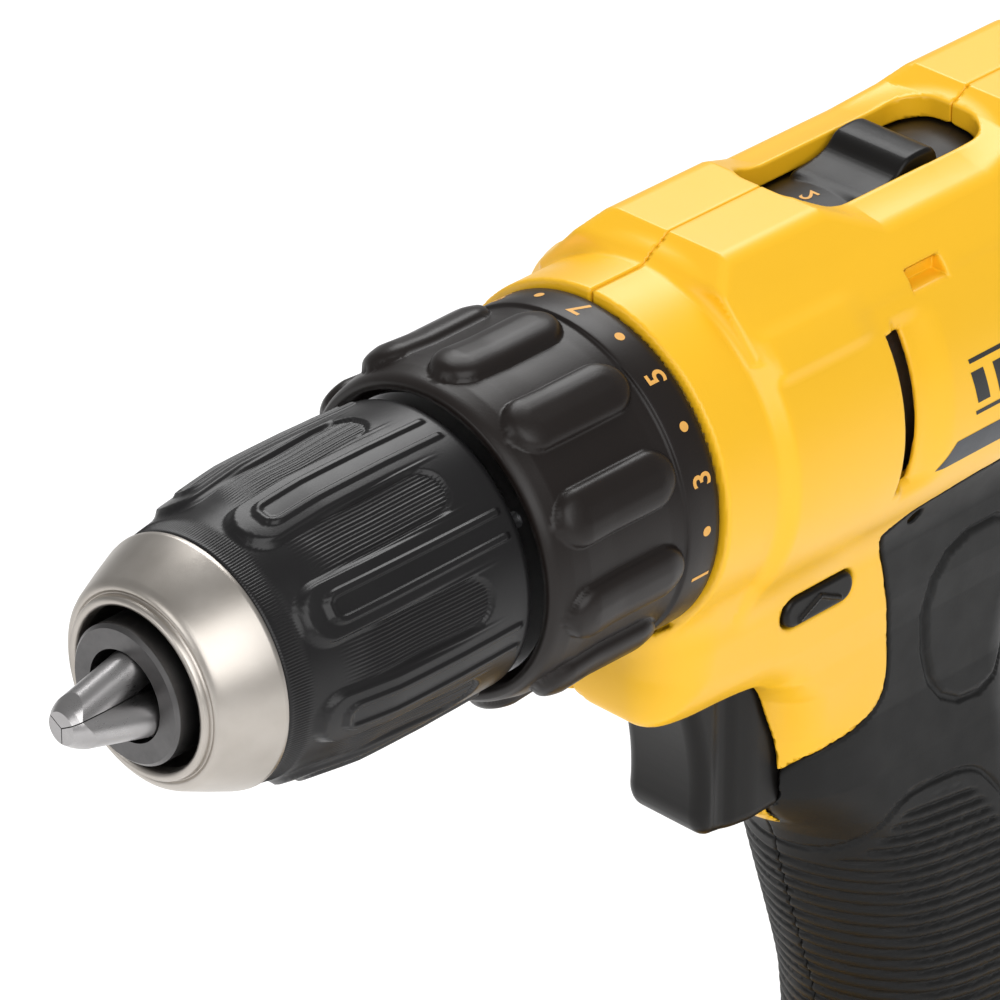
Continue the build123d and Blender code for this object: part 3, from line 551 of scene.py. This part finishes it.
def outside_form(x, y, z):
    foot = rounded_cut(rounded_box(x, y, (-74.3, 0), (44.2, 31.5), 12), abs(z + 144.6) - 6.1, 2.5)
    foot = rounded_cut(foot, 0.45 * abs(y) + 0.89 * (z + 137.5) - 9, 2.5)
    form = blended(barrel_skin(x, y, z), handle_form(x, y, z), 4)
    return blended(form, foot, 9)


GEAR_ROOM, MOTOR_ROOM = 24.0, 24.6      # radii of the rooms round the gearbox and the motor


def openings(x, y, z):
    """Selector window, trigger, reversing button, lamp and vents."""
    radius, turn = np.hypot(y, z), np.degrees(np.arctan2(z, abs(y)))
    window = np.maximum(rounded_box(x, y, (-54.8, 0), (20, 8), 5.0), 15 - z)
    trigger = np.maximum(rounded_box(y, z, (0, -54.6), (9.2, 14), 4.8), abs(x + 26) - 20)
    button = rounded_box(x, z, (-28, -27), (7.6, 2.7), 2.69)
    lamp = np.maximum(np.hypot(y, 0.643 * (x + 0.6) + 0.766 * (z + 37.2)), abs(x + 2) * 0.3) - 2.6
    side = np.maximum(abs(x + 46.5) - 3.5, abs(z - 19.05) - 1.25)
    side = np.maximum(side, 18.5 - abs(y))
    crescent = np.maximum(abs(x + 36.8) - 1.9, (abs(turn - 6) - 26) * 0.48)
    rear = np.maximum(abs((x + 115.5) % 4.5 - 2.25) - 1.25, abs(x + 104.25) - 10.25)
    rear = np.maximum(rear, (abs(turn - 18) - 16) * 0.48)
    ring = np.maximum(np.maximum(crescent, -x - 41), GEAR_ROOM - 1 - radius)
    cuts = [window, trigger, button, lamp, side, ring, np.maximum(rear, MOTOR_ROOM - 1 - radius),
            np.maximum(radius - 25.9, -x - 0.1)]
    return np.minimum.reduce(np.broadcast_arrays(*cuts))


def inside_form(x, y, z):
    """Room for gearbox, motor and selector, the hollow handle, and the T-shaped way for the battery's head."""
    radius = np.hypot(y, z)
    room = np.maximum(radius - np.where(x > -49, GEAR_ROOM, MOTOR_ROOM), abs(x + 58.5) - 58.5)
    room = np.minimum(room, np.maximum(np.maximum(radius - MOTOR_ROOM, abs(y) - 10.5), np.maximum(
        abs(x + 58) - 30, -z)))
    turn = np.degrees(np.arctan2(z, abs(y)))
    thin = np.maximum(np.maximum(radius - 25.7, abs(x + 38.2) - 4.7), (abs(turn - 6) - 30) * 0.48)
    room = np.minimum(room, thin)
    column = np.maximum(handle_form(x, y, z) + 4.5, -142 - z)
    way = np.maximum(abs(x + 72.5) - 43.5, np.maximum(abs(y) - np.where(z > -147.4, 19.9, 16.4), z + 143.1))
    return np.minimum(np.minimum(room, column), way)


def housing_half(side):
    """One half of the shell. Rubber sits flush in a recess, and the two halves meet with softened edges."""
    def field(x, y, z):
        body = shaped(x, y, z)
        core = np.minimum(0.12 - rubber_outline(x, z), body + RUBBER_DEEP)
        shell = rounded_cut(body, core, 0.45)
        shell = rounded_cut(shell, -openings(x, y, z), 0.6)
        shell = rounded_cut(shell, -inside_form(x, y, z), 0.4)
        if side < 0:
            for place_x, place_z in SCREWS:
                depth = -20 if place_z < -120 else -9
                hole = np.maximum(np.hypot(x - place_x, z - place_z) - 3.3, y - depth)
                shell = rounded_cut(shell, -hole, 0.4)
        return rounded_cut(shell, 0.04 - side * y, 0.28)
    return field


def shaped(x, y, z):
    """The outside with the scoop behind the crescent vent."""
    turn = np.degrees(np.arctan2(z, abs(y)))
    scoop = 1.7 * eased(x, -45.5, -38.7) * (1 - eased(x, -37.5, -35.8)) * (1 - eased(abs(turn - 6), 25, 31))
    return outside_form(x, y, z) + scoop


def half_axes(side, pitch_x, pitch_y, pitch_z):
    """Grid lines whose cells have the halves' meeting faces at their middle."""
    y = 0.04 - 1.5 * pitch_y + pitch_y * np.arange(int(33.5 / pitch_y))
    return spread(*pitch_x), y if side > 0 else -y[::-1], spread(*pitch_z)


housing_finish = moulded("housing yellow nylon", YELLOW, YELLOW_WORN, rough=0.36, grain_mm=0.3, depth_mm=0.006)
for name, side in (("housing_left", 1), ("housing_right", -1)):
    grid = half_axes(side, [(-120.6, 1.1), (-78, 0.62), (-47, 0.45), (-33, 0.62), (4.2, 0)], 0.7,
                     [(-151.9, 1.15), (-80, 0.8), (-2, 0.62), (30.8, 0)])
    moulding(name + "_skin", housing_half(side), grid, housing_finish, "housing", [name], "housing")


# Grips. Black thermoplastic rubber moulded over each half of the handle, 2 mm thick and flush with the
# yellow: a smooth upper pad outlined by a groove, and curved ribs under a seam for the fingers and palm.
PAD = [(-51.5, -29.5), (-76, -29.5), (-75, -62), (-56, -59.5)]
RIBBED = [(-14, -78), (-27, -78.5), (-33, -79.8), (-39.3, -81.6), (-44.6, -79.6), (-47.8, -74), (-51.3, -71.6),
          (-58, -71.8), (-64.8, -72.6), (-69.5, -75.5), (-76, -85), (-82, -97), (-85, -114), (-82, -131),
          (-64, -134.6), (-30, -134.6), (-14, -132)]
RIB_PITCH = 2.15
pad_outline, ribbed_outline = Outline(PAD, 2), Outline(RIBBED, 2)


def grip_relief(x, z):
    """Depth of the rubber's pattern: a groove round the pad, a groove round the ribbed field, and between
    the ribs a rounded valley on lines that climb a little towards the rear."""
    pad, ribbed = pad_outline(x, z), ribbed_outline(x, z)
    groove = 0.42 * (1 - eased(abs(pad), 0.15, 0.75)) + 0.42 * (1 - eased(abs(ribbed), 0.15, 0.7))
    wave = 0.5 + 0.5 * np.cos(2 * np.pi * (z - 0.16 * (x + 40)) / RIB_PITCH)
    valley = 0.5 * wave ** 2 * eased(-ribbed, 2.0, 3.6)
    return groove + valley - 0.25 * eased(-pad, 0.5, 1.4)


def grip_half(side):
    def field(x, y, z):
        body = outside_form(x, y, z)
        skin = rounded_cut(body + grip_relief(x, z), rubber_outline(x, z) + 0.1, 0.5)
        skin = np.maximum(skin, -body - RUBBER_DEEP + 0.02)
        skin = rounded_cut(skin, -openings(x, y, z), 0.4)
        for place_x, place_z in SCREWS:
            hole = np.hypot(x - place_x, z - place_z) - 3.3
            skin = rounded_cut(skin, -np.maximum(hole, y), 0.3) if side < 0 else skin
        dimple = np.hypot(x + 46.5, z + 20.3) - 1.3
        skin = rounded_cut(skin, -dimple, 0.3)
        return rounded_cut(skin, 0.04 - side * y, 0.25)
    return field


def rubber_finish():
    """Matt rubber: fine spark grain, dusty dull patches and a slight sheen where hands rub."""
    finish = Finish("grip rubber", Specular_IOR_Level=0.22)
    grain, dust, handled = finish.noise(0.28, 2, 0.7), finish.noise(14, 5), finish.noise(5, 4)
    clean, dusty = (0.0060, 0.0060, 0.0062, 1), (0.0105, 0.0104, 0.0102, 1)
    finish.feed("Base Color", finish.blend(dust * 0.6 + grain * 0.2, clean, dusty))
    finish.feed("Roughness", 0.52 + (handled - 0.5) * 0.2 + (grain - 0.5) * 0.1)
    finish.bump(grain * 0.8 + finish.noise(0.9, 2) * 0.2, 0.02)
    return finish.material


grip_finish = rubber_finish()
for name, side in (("grip_left", 1), ("grip_right", -1)):
    grid = half_axes(side, [(-97, 0.8), (-76, 0.5), (-12, 0)], 0.6, [(-138, 0.6), (-13, 0)])
    moulding(name + "_skin", grip_half(side), grid, grip_finish, "housing", [name], "rubber")


# Trigger. A black nylon paddle with a proud rounded finger pad down its front, which slides back into
# the housing over the switch.
TRIGGER = [(-36.8, -40.9), (-22, -40.9), (-14.2, -41.3), (-13.0, -43.6), (-14.6, -49), (-15.8, -55), (-16.2, -60.5),
           (-15.8, -65.2), (-18.4, -68.2), (-24, -68.4), (-36.8, -67.8)]
trigger_outline = Outline(TRIGGER, 2)


def trigger_form(x, y, z):
    """A slab of the side outline, hollowed a little down each side and waisted behind its rounded front pad."""
    waist = 8.7 - 1.1 * eased(x, -27, -20) - 0.35 * (1 - eased(abs(x + 20.5), 0.5, 2.5))
    return rounded_cut(trigger_outline(x, z), abs(y) - waist, 2.4)


control_finish = moulded("control black nylon", (0.0045, 0.0040, 0.0040), (0.008, 0.007, 0.006), rough=0.36,
                         grain_mm=0.3, depth_mm=0.01, Specular_IOR_Level=0.22)
trigger_grid = [spread((-38, 0.6), (-11, 0)), spread((-10.2, 0.6), (10.2, 0)), spread((-69.6, 0.6), (-39.4, 0))]
moulding("trigger_skin", trigger_form, trigger_grid, control_finish, "trigger", ["trigger"], "black_plastic")


# Reversing button. A black nylon bar that crosses the neck and is pushed from either side, with a small
# raised chevron on each end.
def reversing_form(x, y, z):
    """A stadium bar with rounded ends and a bent ridge on each end face."""
    chevron = abs(abs(x + 28) * 0.5 + (z + 27) - 0.9) - 0.35
    chevron = np.maximum(chevron, abs(x + 28) - 4.4)
    end = abs(y) - 18.9 - 0.4 * eased(-chevron, -0.2, 0.15)
    return rounded_cut(rounded_box(x, z, (-28, -27), (7.2, 2.4), 2.39), end, 0.8)


button_grid = [spread((-36.2, 0.35), (-19.8, 0)), spread((-20.3, 0.3), (-17, 2.0), (17, 0.3), (20.3, 0)),
               spread((-30.4, 0.3), (-23.6, 0))]
moulding("reversing_button_skin", reversing_form, button_grid, control_finish, "reversing_button",
         ["reversing_button"], "black_plastic")


# Speed selector. A black slider on top of the barrel: a curved plate under the window, a ridge to push
# with the thumb, hollowed in front, and the gear's number printed at the plate's end.
KNOB = [(-64.6, 22.9), (-64.4, 26.4), (-62.9, 27.95), (-58.6, 27.95), (-57.2, 27.3), (-55.4, 25.5), (-52, 24.75),
        (-48.2, 24.5), (-47.6, 22.9)]
knob_outline = Outline(KNOB, 2)


def selector_form(x, y, z):
    """Plate from its radius, angle and length, with the ridge's side outline blended on."""
    radius, turn = np.hypot(y, z), np.degrees(np.arctan2(abs(y), z))
    plate = rounded_cut(rounded_cut(abs(radius - 23.65) - 0.68, (turn - 23) * 0.41, 0.2), abs(x + 58) - 18, 0.2)
    ridge = rounded_cut(knob_outline(x, z), abs(y) - 6.9, 0.7)
    ridge = np.maximum(ridge, 23.1 - radius)
    tongue = np.maximum(np.maximum(abs(radius - 23.28) - 0.3, (turn - 8) * 0.41), abs(x + 37) - 3.5)
    return np.minimum(blended(plate, ridge, 0.5), tongue)


selector_grid = [spread((-77, 0.45), (-32.6, 0)), spread((-10.2, 0.45), (10.2, 0)), spread((20.5, 0.4), (28.7, 0))]
moulding("speed_selector_skin", selector_form, selector_grid, control_finish, "selector", ["speed_selector"],
         "black_plastic")


def printed_on_plate(text, size, middle_x):
    """A numeral on the plate's curved top, read from behind the drill."""
    flat, triangles = numeral(text, size)
    turn = np.radians(90) + flat[:, 0] * -1 / 24.4
    return np.stack([middle_x + flat[:, 1], 24.39 * np.cos(turn), 24.39 * np.sin(turn)], -1), triangles


print_piece("selector_numeral", *printed_on_plate("2", 3.9, -44.7), ring_print_finish(), "selector")


# Side markings. A grey metallic flash let into each side of the barrel behind the crescent vent, with thin
# dark lines over it; they say nothing.
FLASH = [(-46.4, -5.2), (-99.5, -5.2), (-101, -9.4), (-43.4, -9.4)]


def skin_patch(outline, side, across=90, lift=0.05):
    """A flat outline in side view, as strips between its top and bottom edge, laid on the barrel's skin."""
    (x0, z0), (x1, z1), (x2, z2), (x3, z3) = outline
    u, w = np.meshgrid(np.linspace(0, 1, across), np.linspace(0, 1, 13), indexing="ij")
    x = (1 - w) * (x0 + (x1 - x0) * u) + w * (x3 + (x2 - x3) * u)
    z = (1 - w) * (z0 + (z1 - z0) * u) + w * (z3 + (z2 - z3) * u)
    y = np.full_like(x, 27.0)
    for _ in range(12):
        y -= np.clip(shaped(x, y, z) - lift, -0.5, 0.5)
    points = np.stack([x, side * y, z], -1).reshape(-1, 3)
    i, j = np.meshgrid(np.arange(across - 1), np.arange(12), indexing="ij")
    k = i * 13 + j
    faces = np.stack([k, k + 13, k + 14, k + 1], -1).reshape(-1, 4)
    return points, (faces if side < 0 else faces[:, ::-1])


flash_finish = worked_metal("flash grey metallic", (0.10, 0.105, 0.115), (0.07, 0.073, 0.08), 0.42, (1, 1, 1), 0.2,
                            0.003)
line_finish = moulded("flash dark lines", (0.010, 0.010, 0.010), (0.02, 0.02, 0.02), rough=0.45)
LINES = [[(-48.4, 7.0), (-96, 7.0), (-96, 6.3), (-48.6, 6.3)],
         [(-49.6, -1.4), (-92, -1.4), (-92, -2.1), (-49.8, -2.1)]]
BARS = [[(x, 5.0), (x - 2.6, 5.0), (x - 4.0, -0.2), (x - 1.4, -0.2)] for x in (-48.6, -53.2, -57.8)]
for side, word in ((1, "left"), (-1, "right")):
    print_piece("flash_" + word, *skin_patch(FLASH, side), flash_finish, "housing")
    for number, outline in enumerate(LINES + BARS):
        print_piece(f"flash_line_{word}_{number + 1}", *skin_patch(outline, side, 40), line_finish, "housing")


# Rear cap, screws and lamp. A slotted black nylon cap closes the barrel behind the motor; zinc-plated
# thread-forming screws hold the halves; a small acrylic rod is the work lamp. Its dark amber colour is
# painted shade standing in for the shadow in the hole it sits in.
cap_finish = moulded("cap black nylon", (0.012, 0.0115, 0.011), (0.02, 0.019, 0.018), rough=0.42, grain_mm=0.35,
                     depth_mm=0.012)
dress(cap_finish, "rear_cap")
dress(worked_metal("screw zinc", (0.42, 0.41, 0.38), (0.30, 0.29, 0.26), 0.36, (1, 1, 1)), "housing_screws")
lamp = Finish("lamp acrylic painted shade", Coat_Weight=0.6, Coat_Roughness=0.05)
# The lens's dark amber base colour is painted shade: it stands in for the shadow inside the lamp's hole.
lamp.feed("Base Color", lamp.blend(lamp.noise(1.5, 3), (0.20, 0.13, 0.045, 1), (0.34, 0.24, 0.11, 1)))
lamp.feed("Roughness", 0.10 + lamp.noise(0.6, 3) * 0.12)
dress(lamp.material, "work_light")


# Gearbox. A die-cast case and cover hold three planetary stages of sintered steel, greased; the second ring
# gear slides to change speed, moved by a wire fork.
def sintered(name, colour, oily, rough):
    """Pressed powder metal: fine pores as a cell pattern, with oil darkening it in patches."""
    finish = Finish(name, Metallic=1.0)
    pores = finish.node("TexVoronoi", None, {"Vector": finish.place, "Scale": 1 / (0.35 * MM)}, output=0)
    oil = finish.noise(5, 4)
    finish.feed("Base Color", finish.blend(oil, (*colour, 1), (*oily, 1)))
    finish.feed("Roughness", rough - oil * 0.2 + pores * 0.1)
    finish.bump(pores, 0.02)
    return finish.material


gear_steel = sintered("sintered gear steel", (0.24, 0.23, 0.22), (0.14, 0.13, 0.12), 0.55)
dress(gear_steel, "ring_gear_1", "ring_gear_2", "ring_gear_3", "carrier_1", "carrier_2", "planets_2", "motor_pinion",
      *(f"planet_{stage}{letter}" for stage in (1, 3) for letter in "abc"))
dress(sintered("die-cast gear case", (0.33, 0.33, 0.34), (0.25, 0.25, 0.255), 0.55), "gear_case", "gear_case_cover")
dress(worked_metal("fork wire", (0.45, 0.45, 0.44), (0.32, 0.32, 0.31), 0.3), "shift_fork")


# Motor. A plated steel can lined with ferrite magnets round a laminated, enamel-wound armature, with a
# copper commutator, nylon fan and end cap, carbon brushes in brass boxes and two insulated leads.
dress(worked_metal("motor can plating", (0.48, 0.48, 0.47), (0.36, 0.36, 0.35), 0.33, (6, 1, 1)), "motor_can")
dress(moulded("ferrite", (0.035, 0.034, 0.034), (0.05, 0.049, 0.048), rough=0.65, grain_mm=0.2, depth_mm=0.02),
      "motor_magnets")
dress(worked_metal("motor shaft steel", (0.50, 0.49, 0.48), (0.38, 0.37, 0.36), 0.22, (12, 1, 1)), "motor_shaft")
dress(worked_metal("brush brass", (0.55, 0.36, 0.12), (0.40, 0.25, 0.09), 0.34, (1, 1, 1)), "motor_brushes",
      "terminal_block")


def laminated():
    """Stacked sheet steel: a sharp wave along the shaft at the sheets' 0.5 mm pitch."""
    finish = Finish("armature laminations", Metallic=1.0)
    along_shaft = finish.parts(finish.place)[0]
    sheet = finish.node("Math", {"operation": "PINGPONG"}, {0: along_shaft, 1: 0.25 * MM}) * (4 / MM)
    finish.feed("Base Color", finish.blend(sheet, (0.10, 0.10, 0.105, 1), (0.26, 0.26, 0.27, 1)))
    finish.feed("Roughness", 0.42 + finish.noise(2, 3) * 0.2)
    finish.bump(sheet, 0.05)
    return finish.material


def wound():
    """Enamelled copper wire: round strands 0.6 mm apart, with varnish of uneven depth."""
    finish = Finish("enamelled windings", Metallic=0.85, Coat_Weight=0.5, Coat_Roughness=0.2)
    strand = finish.node("TexWave", {"wave_type": "BANDS", "bands_direction": "DIAGONAL"},
                         {"Vector": finish.place, "Scale": 1 / (2.0 * MM), "Distortion": 0.6, "Detail": 1.0}, output=1)
    varnish = finish.noise(3, 4)
    finish.feed("Base Color", finish.blend(varnish, (0.50, 0.17, 0.055, 1), (0.30, 0.085, 0.03, 1)))
    finish.feed("Roughness", 0.28 + varnish * 0.2)
    finish.bump(strand, 0.15)
    return finish.material


dress(laminated(), "armature_core")
dress(wound(), "armature_windings")
dress(worked_metal("commutator copper", (0.60, 0.27, 0.15), (0.35, 0.16, 0.10), 0.3, (10, 1, 1)), "commutator")
inner_nylon = moulded("inner black nylon", (0.020, 0.020, 0.021), (0.034, 0.034, 0.034), rough=0.5, grain_mm=0.3,
                      depth_mm=0.015)
dress(inner_nylon, "motor_fan", "brush_holder", "trigger_switch")
dress(moulded("lead insulation", (0.32, 0.012, 0.010), (0.24, 0.010, 0.010), rough=0.45, grain_mm=0.5, depth_mm=0.01),
      "motor_leads")


# Battery. Two black nylon mouldings with a seam between them, moulded finger ribs on the sides and a T-shaped
# head that slides into the foot; inside, five wrapped cells in a row and a green contact board; a sprung
# latch button at the front.
BATTERY_X, BATTERY_HALF_X, BATTERY_HALF_Y, BATTERY_CORNER = -70.0, 54.0, 37.0, 11.0
BATTERY_LOW, BATTERY_JOIN, BATTERY_HIGH, BATTERY_WALL = -194.0, -170.0, -151.0, 2.4


def battery_slab(x, y, z, low, high, inset, radius):
    half = (BATTERY_HALF_X - inset, BATTERY_HALF_Y - inset)
    sides = rounded_box(x, y, (BATTERY_X, 0), half, BATTERY_CORNER - inset)
    return rounded_cut(sides, np.maximum(low - z, z - high), radius)


def battery_lower(x, y, z):
    """Tray with rounded bottom edges and five grooves in each long side."""
    ribs = 0.7 * eased(abs(y), 30, 34) * (1 - eased(abs(x + 70), 34, 36)) * eased(z, -191, -189) * eased(-z, 172, 174)
    ribs = ribs * (0.5 + 0.5 * np.cos(2 * np.pi * (z + 190) / 3.6))
    outer = battery_slab(x, y, z, BATTERY_LOW, BATTERY_JOIN - 0.1, 0, 2.2) + ribs
    outer = np.maximum(outer, z - BATTERY_JOIN + 0.1)
    inner = battery_slab(x, y, z, BATTERY_LOW + BATTERY_WALL, BATTERY_JOIN + 9, BATTERY_WALL + 0.7, 1.5)
    return np.maximum(outer, -inner)


def battery_upper(x, y, z):
    """Lid with a broad bevel, the slotted T head on top and the latch's pocket at the front."""
    outer = battery_slab(x, y, z, BATTERY_JOIN - 9, BATTERY_HIGH, 0, 3.0)
    outer = rounded_cut(outer, BATTERY_JOIN + 0.1 - z, 0.4)
    inner = battery_slab(x, y, z, BATTERY_JOIN - 9, BATTERY_HIGH - 2.6, BATTERY_WALL, 1.5)
    lid = np.maximum(outer, -inner)
    neck = np.maximum(abs(y) - 16, abs(z + 149.3) - 2.3)
    flange = rounded_cut(abs(y) - 19.5, abs(z + 145.35) - 1.75, 0.5)
    head = rounded_cut(np.minimum(neck, flange), abs(x + 73) - 39, 0.8)
    slots = np.maximum(abs((y + 15) % 6 - 3) - 1, abs(y) - 14.5)
    slots = np.maximum(slots, np.maximum(abs(x + 103) - 10, -149.4 - z))
    lid = np.minimum(lid, np.maximum(head, -slots))
    pocket = np.maximum(abs(x + 24.5) - 5.3, np.maximum(abs(y) - 9.3, -161 - z))
    wall = np.maximum(np.maximum(abs(x + 24.5) - 6.3, abs(y) - 10.3), np.maximum(-162 - z, z + 152))
    return np.maximum(np.minimum(lid, wall), -pocket)


case_finish = moulded("battery black nylon", (0.011, 0.0108, 0.0105), (0.019, 0.0185, 0.018), rough=0.44,
                      grain_mm=0.4, depth_mm=0.02)
tray_grid = [spread((-125.2, 1.1), (-14.8, 0)), spread((-38.2, 1.1), (38.6, 0)), spread((-195.1, 0.9), (-168.6, 0))]
moulding("battery_case_lower_skin", battery_lower, tray_grid, case_finish, "battery", ["battery_case_lower"],
         "black_plastic")
lid_grid = [spread((-125.2, 0.95), (-14.8, 0)), spread((-38.2, 0.95), (38.6, 0)), spread((-171.4, 0.9), (-142.6, 0))]
moulding("battery_case_upper_skin", battery_upper, lid_grid, case_finish, "battery", ["battery_case_upper"],
         "black_plastic")
dress(moulded("latch black nylon", (0.010, 0.010, 0.010), (0.018, 0.018, 0.018), rough=0.36), "release_button")
dress(moulded("cell wrap blue", (0.02, 0.10, 0.34), (0.025, 0.12, 0.38), rough=0.3, grain_mm=2.0, depth_mm=0.02,
              Coat_Weight=0.3), "battery_cells")
board = Finish("green contact board", Coat_Weight=0.4)
tracks = board.node("TexBrick", None, {"Vector": board.place, "Color1": (0.0, 0.09, 0.035, 1),
                                       "Color2": (0.0, 0.075, 0.03, 1), "Mortar": (0.01, 0.14, 0.06, 1),
                                       "Scale": 160.0, "Mortar Size": 0.04})
board.feed("Base Color", tracks)
board.feed("Roughness", 0.3 + board.noise(2, 3) * 0.2)
dress(board.material, "battery_board")


# Floor, light and camera. A pale seamless floor under broad soft lights, and a long lens that looks
# down on the drill's left front.
def make_stage():
    lo, hi = Vector(cad_box[0]), Vector(cad_box[1])
    floor = bpy.data.meshes.new("floor")
    floor.from_pydata([(x, y, lo.z) for x, y in ((-4, -4), (4, -4), (4, 4), (-4, 4))], [], [(0, 1, 2, 3)])
    pale = Finish("pale floor", Roughness=0.9, Specular_IOR_Level=0.1, Emission_Color=(1, 1, 1, 1),
                  Emission_Strength=0.32)
    pale.feed("Base Color", pale.blend(pale.noise(300, 2), (0.86, 0.86, 0.86, 1), (0.88, 0.88, 0.88, 1)))
    floor.materials.append(pale.material)
    board = bpy.data.objects.new("floor", floor)
    bpy.context.scene.collection.objects.link(board)
    world = bpy.data.worlds.new("studio")
    world.use_nodes = True
    world.node_tree.nodes["Background"].inputs["Color"].default_value = (1, 1, 1, 1)
    world.node_tree.nodes["Background"].inputs["Strength"].default_value = 0.35
    bpy.context.scene.world = world


def soft_light(name, towards, distance, size, power):
    """A square panel aimed at the collar from the given direction."""
    light = bpy.data.lights.new(name, "AREA")
    light.size, light.energy = size, power
    lamp = bpy.data.objects.new(name, light)
    direction = Vector(towards).normalized()
    lamp.location = Vector(ORIGIN) + direction * distance
    lamp.rotation_euler = direction.to_track_quat("Z", "Y").to_euler()
    bpy.context.scene.collection.objects.link(lamp)


VIEW_AZIMUTH, VIEW_ELEVATION = np.radians(134.37), np.radians(30.09)
VIEW_DISTANCE, VIEW_SIDE, VIEW_RISE, LENS = 968.67, -12.144, -5.711, 252.0


def make_camera():
    """The view's three axes from its azimuth and elevation; the lens looks along the third, backwards."""
    back = Vector((np.sin(VIEW_AZIMUTH) * np.cos(VIEW_ELEVATION),
                   -np.cos(VIEW_AZIMUTH) * np.cos(VIEW_ELEVATION), np.sin(VIEW_ELEVATION)))
    right = Vector((np.cos(VIEW_AZIMUTH), np.sin(VIEW_AZIMUTH), 0))
    rise = back.cross(right)
    data = bpy.data.cameras.new("camera")
    data.lens, data.sensor_width, data.clip_end = LENS, 36.0, 20.0
    camera = bpy.data.objects.new("camera", data)
    eye = Vector(ORIGIN) + (right * VIEW_SIDE + rise * VIEW_RISE + back * VIEW_DISTANCE) * MM
    camera.matrix_world = Matrix((right, rise, back)).transposed().to_4x4()
    camera.location = eye
    bpy.context.scene.collection.objects.link(camera)
    bpy.context.scene.camera = camera


make_stage()
soft_light("key", (0.55, 0.95, 0.75), 0.9, 0.8, 5.5)
soft_light("rear top", (-0.62, -0.60, 1.0), 0.8, 0.5, 4.5)
soft_light("front", (1.3, -0.2, 0.5), 0.9, 0.4, 1.2)
make_camera()
bpy.context.scene.view_settings.view_transform = "Standard"
